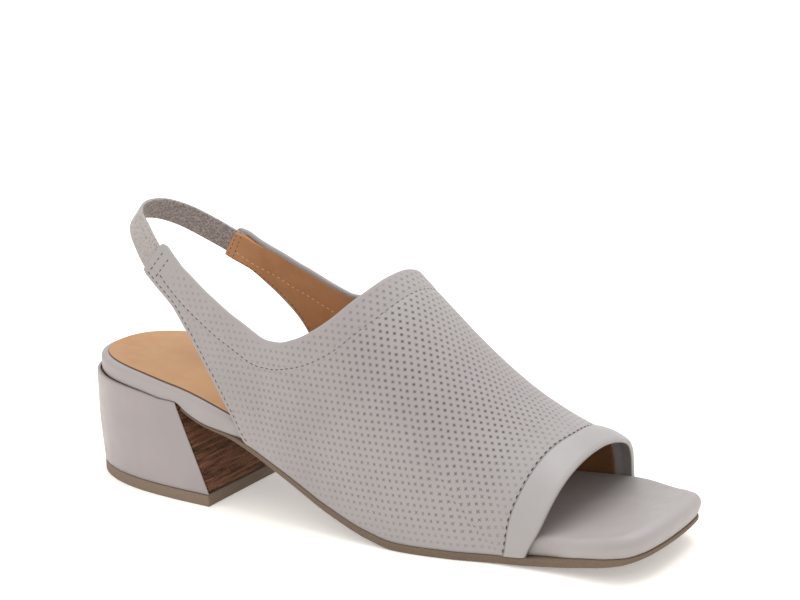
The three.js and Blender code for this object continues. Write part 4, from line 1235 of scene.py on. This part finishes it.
def cover_height(v):
    """Rows of the cover drawn together towards its top, where it turns in."""
    return 1 - (1 - v) ** 1.5


def cover_at(u, v, depth):
    height = cover_height(v)
    turned = cover_turn(height) * COVER_THICK
    edge = 1 - 0.68 * (1 - ease(0.0, 0.035, u) * ease(0.0, 0.035, 1 - u))
    return heel_point(u, height, turned + (COVER_THICK - turned) * edge * depth / COVER_THICK)


def cover_edge_material(u, v, depth):
    return int(0.02 < depth < 0.98 and (u < 0.002 or u > 0.998))


heel_cover = closed_sheet(
    "heel_cover_wrap", [heel_grey, raw_edge], 150, 36,
    lambda u, v: cover_at(u, v, 0), lambda u, v: cover_at(u, v, COVER_THICK),
    round_edge(cover_at, lambda u, v: COVER_THICK + 0 * u,
               lambda u, v: np.where((v > 1e-6) & (v < 1 - 1e-6), 0.12, 0.0), 4), pick=cover_edge_material)

places = np.linspace(0, 1, 121)
lift_rings = []
for z, inset in ((0, 0.35), (0.12, 0.18), (0.45, 0.05), (0.8, 0.0), (2.3, 0.0), (3.9, 0.0), (4.3, 0.08),
                 (4.58, 0.3), (LIFT_THICK, 0.6)):
    ring = heel_point(places, 0, inset)
    ring[:, 0] -= inset * heel_run(1 - places)[0][:, 0] / BREAST_TOP
    ring[:, 2] = z
    lift_rings.append(ring)
top_piece = ringed_block("heel_lift", [lift_rubber], lift_rings)

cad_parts["heel_core"].data.materials.clear()
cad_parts["heel_core"].data.materials.append(heel_stack)

# Elastic strap
pocket = 10 / float(np.linalg.norm(
    upper_at(np.array([0.0]), np.array([0.5]), 1.75) - upper_at(np.array([1.0]), np.array([0.5]), 1.75)))


def plain_wall(line, share):
    line, share = np.array([line]), np.array([share])
    along, turn = cut(line, share)
    return skin(along, turn, wall_at(line, share) / 2)[0]


def in_tab(line, share=0.5):
    """Middle of the wall in a tab, with the way across the tab."""
    return plain_wall(line, share), unit(plain_wall(line, 0.0) - plain_wall(line, 1.0))


slope = math.radians(36.5)
up_and_back = np.array((-math.cos(slope), 0, math.sin(slope)))
first_tab, last_tab = in_tab(0.0)[0], in_tab(float(LAST_LINE))[0]
knots = [in_tab(line, STRAP_SHARES[0]) for line in (pocket, pocket / 2, 0.0)]
for reach, side, lean in STRAP:
    middle = first_tab + (last_tab - first_tab) * (side + 1) / 2
    knots.append((middle + up_and_back * STRAP_REACH * reach,
                  np.array((math.sin(math.radians(lean)), 0, math.cos(math.radians(lean))))))
knots += [in_tab(LAST_LINE - back, STRAP_SHARES[1]) for back in (0.0, pocket / 2, pocket)]
strap_centre = path_through([knot[0] for knot in knots])
strap_across = path_through([knot[1] for knot in knots])
strap_width = curve(STRAP_WIDTHS[:, 0], STRAP_WIDTHS[:, 1])


def strap_at(u, v, depth):
    place = u * (len(knots) - 1)
    middle = strap_centre(place)
    tangent = unit(
        strap_centre(np.minimum(place + 1e-3, len(knots) - 1)) - strap_centre(np.maximum(place - 1e-3, 0)))
    across = strap_across(place)
    across = unit(across - tangent * (across * tangent).sum(-1, keepdims=True))
    through = np.cross(tangent, across)
    reach = (v - 0.5) * (strap_width(place) - STRAP_THICK * 0.6)
    return middle + across * reach[:, None] + through * (STRAP_THICK / 2 - depth)[:, None]


strap = closed_sheet(
    "elastic_strap", [webbing], 220, 14,
    lambda u, v: strap_at(u, v, 0 * u), lambda u, v: strap_at(u, v, STRAP_THICK + 0 * u),
    round_edge(lambda u, v, depth: strap_at(u, v, depth + 0 * u), lambda u, v: STRAP_THICK + 0 * u,
               lambda u, v: np.where((u > 1e-6) & (u < 1 - 1e-6), STRAP_THICK * 0.3, 0.0), 4),
    marks={"inside": lambda u, v, depth: 1 - ease(0.1, 0.7, depth)})

# Riding on the frame
for piece, nodes, slot in (
        (upper, ("upper",), "punched_leather"), (lining, ("upper",), "tan_leather"),
        (upper_stitches, (), None), (toe_stitches, (), None), (lining_stitches, (), None),
        (lining_edge_stitches, (), None),
        (band, ("toe_band",), "smooth_leather"), (footbed, ("footbed",), "footbed_leather"),
        (sock, ("sock",), "tan_leather"), (outsole, ("outsole",), "outsole_compound"),
        (heel_cover, ("heel_cover",), "heel_leather"), (top_piece, ("top_piece",), "lift_rubber"),
        (strap, ("sling_strap",), "elastic_webbing")):
    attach(piece, "root")
    if nodes:
        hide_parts(*nodes)

# Studio
floor_mesh = bmesh.new()
bmesh.ops.create_grid(floor_mesh, x_segments=1, y_segments=1, size=4.0)
floor = add_object("studio_floor", floor_mesh, [studio_card()])


def add_light(name, place, target, width, height, watts, colour):
    lamp = bpy.data.lights.new(name, "AREA")
    lamp.shape = "RECTANGLE"
    lamp.size = width
    lamp.size_y = height
    lamp.energy = watts
    lamp.color = colour
    made = bpy.data.objects.new(name, lamp)
    made.location = place
    made.rotation_euler = (Vector(target) - Vector(place)).to_track_quat("-Z", "Y").to_euler()
    bpy.context.scene.collection.objects.link(made)


add_light("key_softbox", (-0.35, -1.05, 0.95), (0.0, 0.0, 0.04), 2.2, 1.8, 3.5, (1.0, 0.985, 0.97))
add_light("front_softbox", (1.0, -0.55, 0.75), (0.02, 0.0, 0.05), 0.8, 0.8, 0.3, (0.97, 0.98, 1.0))
add_light("top_softbox", (0.05, 0.32, 1.3), (0.0, 0.0, 0.0), 1.1, 1.1, 10.9, (1.0, 1.0, 1.0))

world = bpy.data.worlds.new("white_sweep")
bpy.context.scene.world = world
world.use_nodes = True
world.node_tree.nodes["Background"].inputs["Color"].default_value = (1.0, 1.0, 1.0, 1.0)
world.node_tree.nodes["Background"].inputs["Strength"].default_value = 1.0
bpy.context.scene.view_settings.view_transform = "Standard"

# Camera at the photo's angle
azimuth, elevation, roll = (math.radians(a) for a in (32.3636, 15.1364, -1.9508))
level = math.cos(elevation)
back = Vector((math.sin(azimuth) * level, -math.cos(azimuth) * level, math.sin(elevation)))
right = Vector((math.cos(azimuth), math.sin(azimuth), 0))
up = back.cross(right)
right, up = (math.cos(roll) * right + math.sin(roll) * up, math.cos(roll) * up - math.sin(roll) * right)
lens = bpy.data.cameras.new("photo_camera")
lens.sensor_width = 36
lens.lens = 2264.289 * 36 / 800
camera = bpy.data.objects.new("photo_camera", lens)
target = Vector((134.7776, 0, 81.5176)) + Vector(ORIGIN)
facing = Matrix((right, up, back)).transposed().to_4x4()
camera.matrix_world = Matrix.Translation((target + back * 829.9897) * 0.001) @ facing
bpy.context.scene.collection.objects.link(camera)
bpy.context.scene.camera = camera
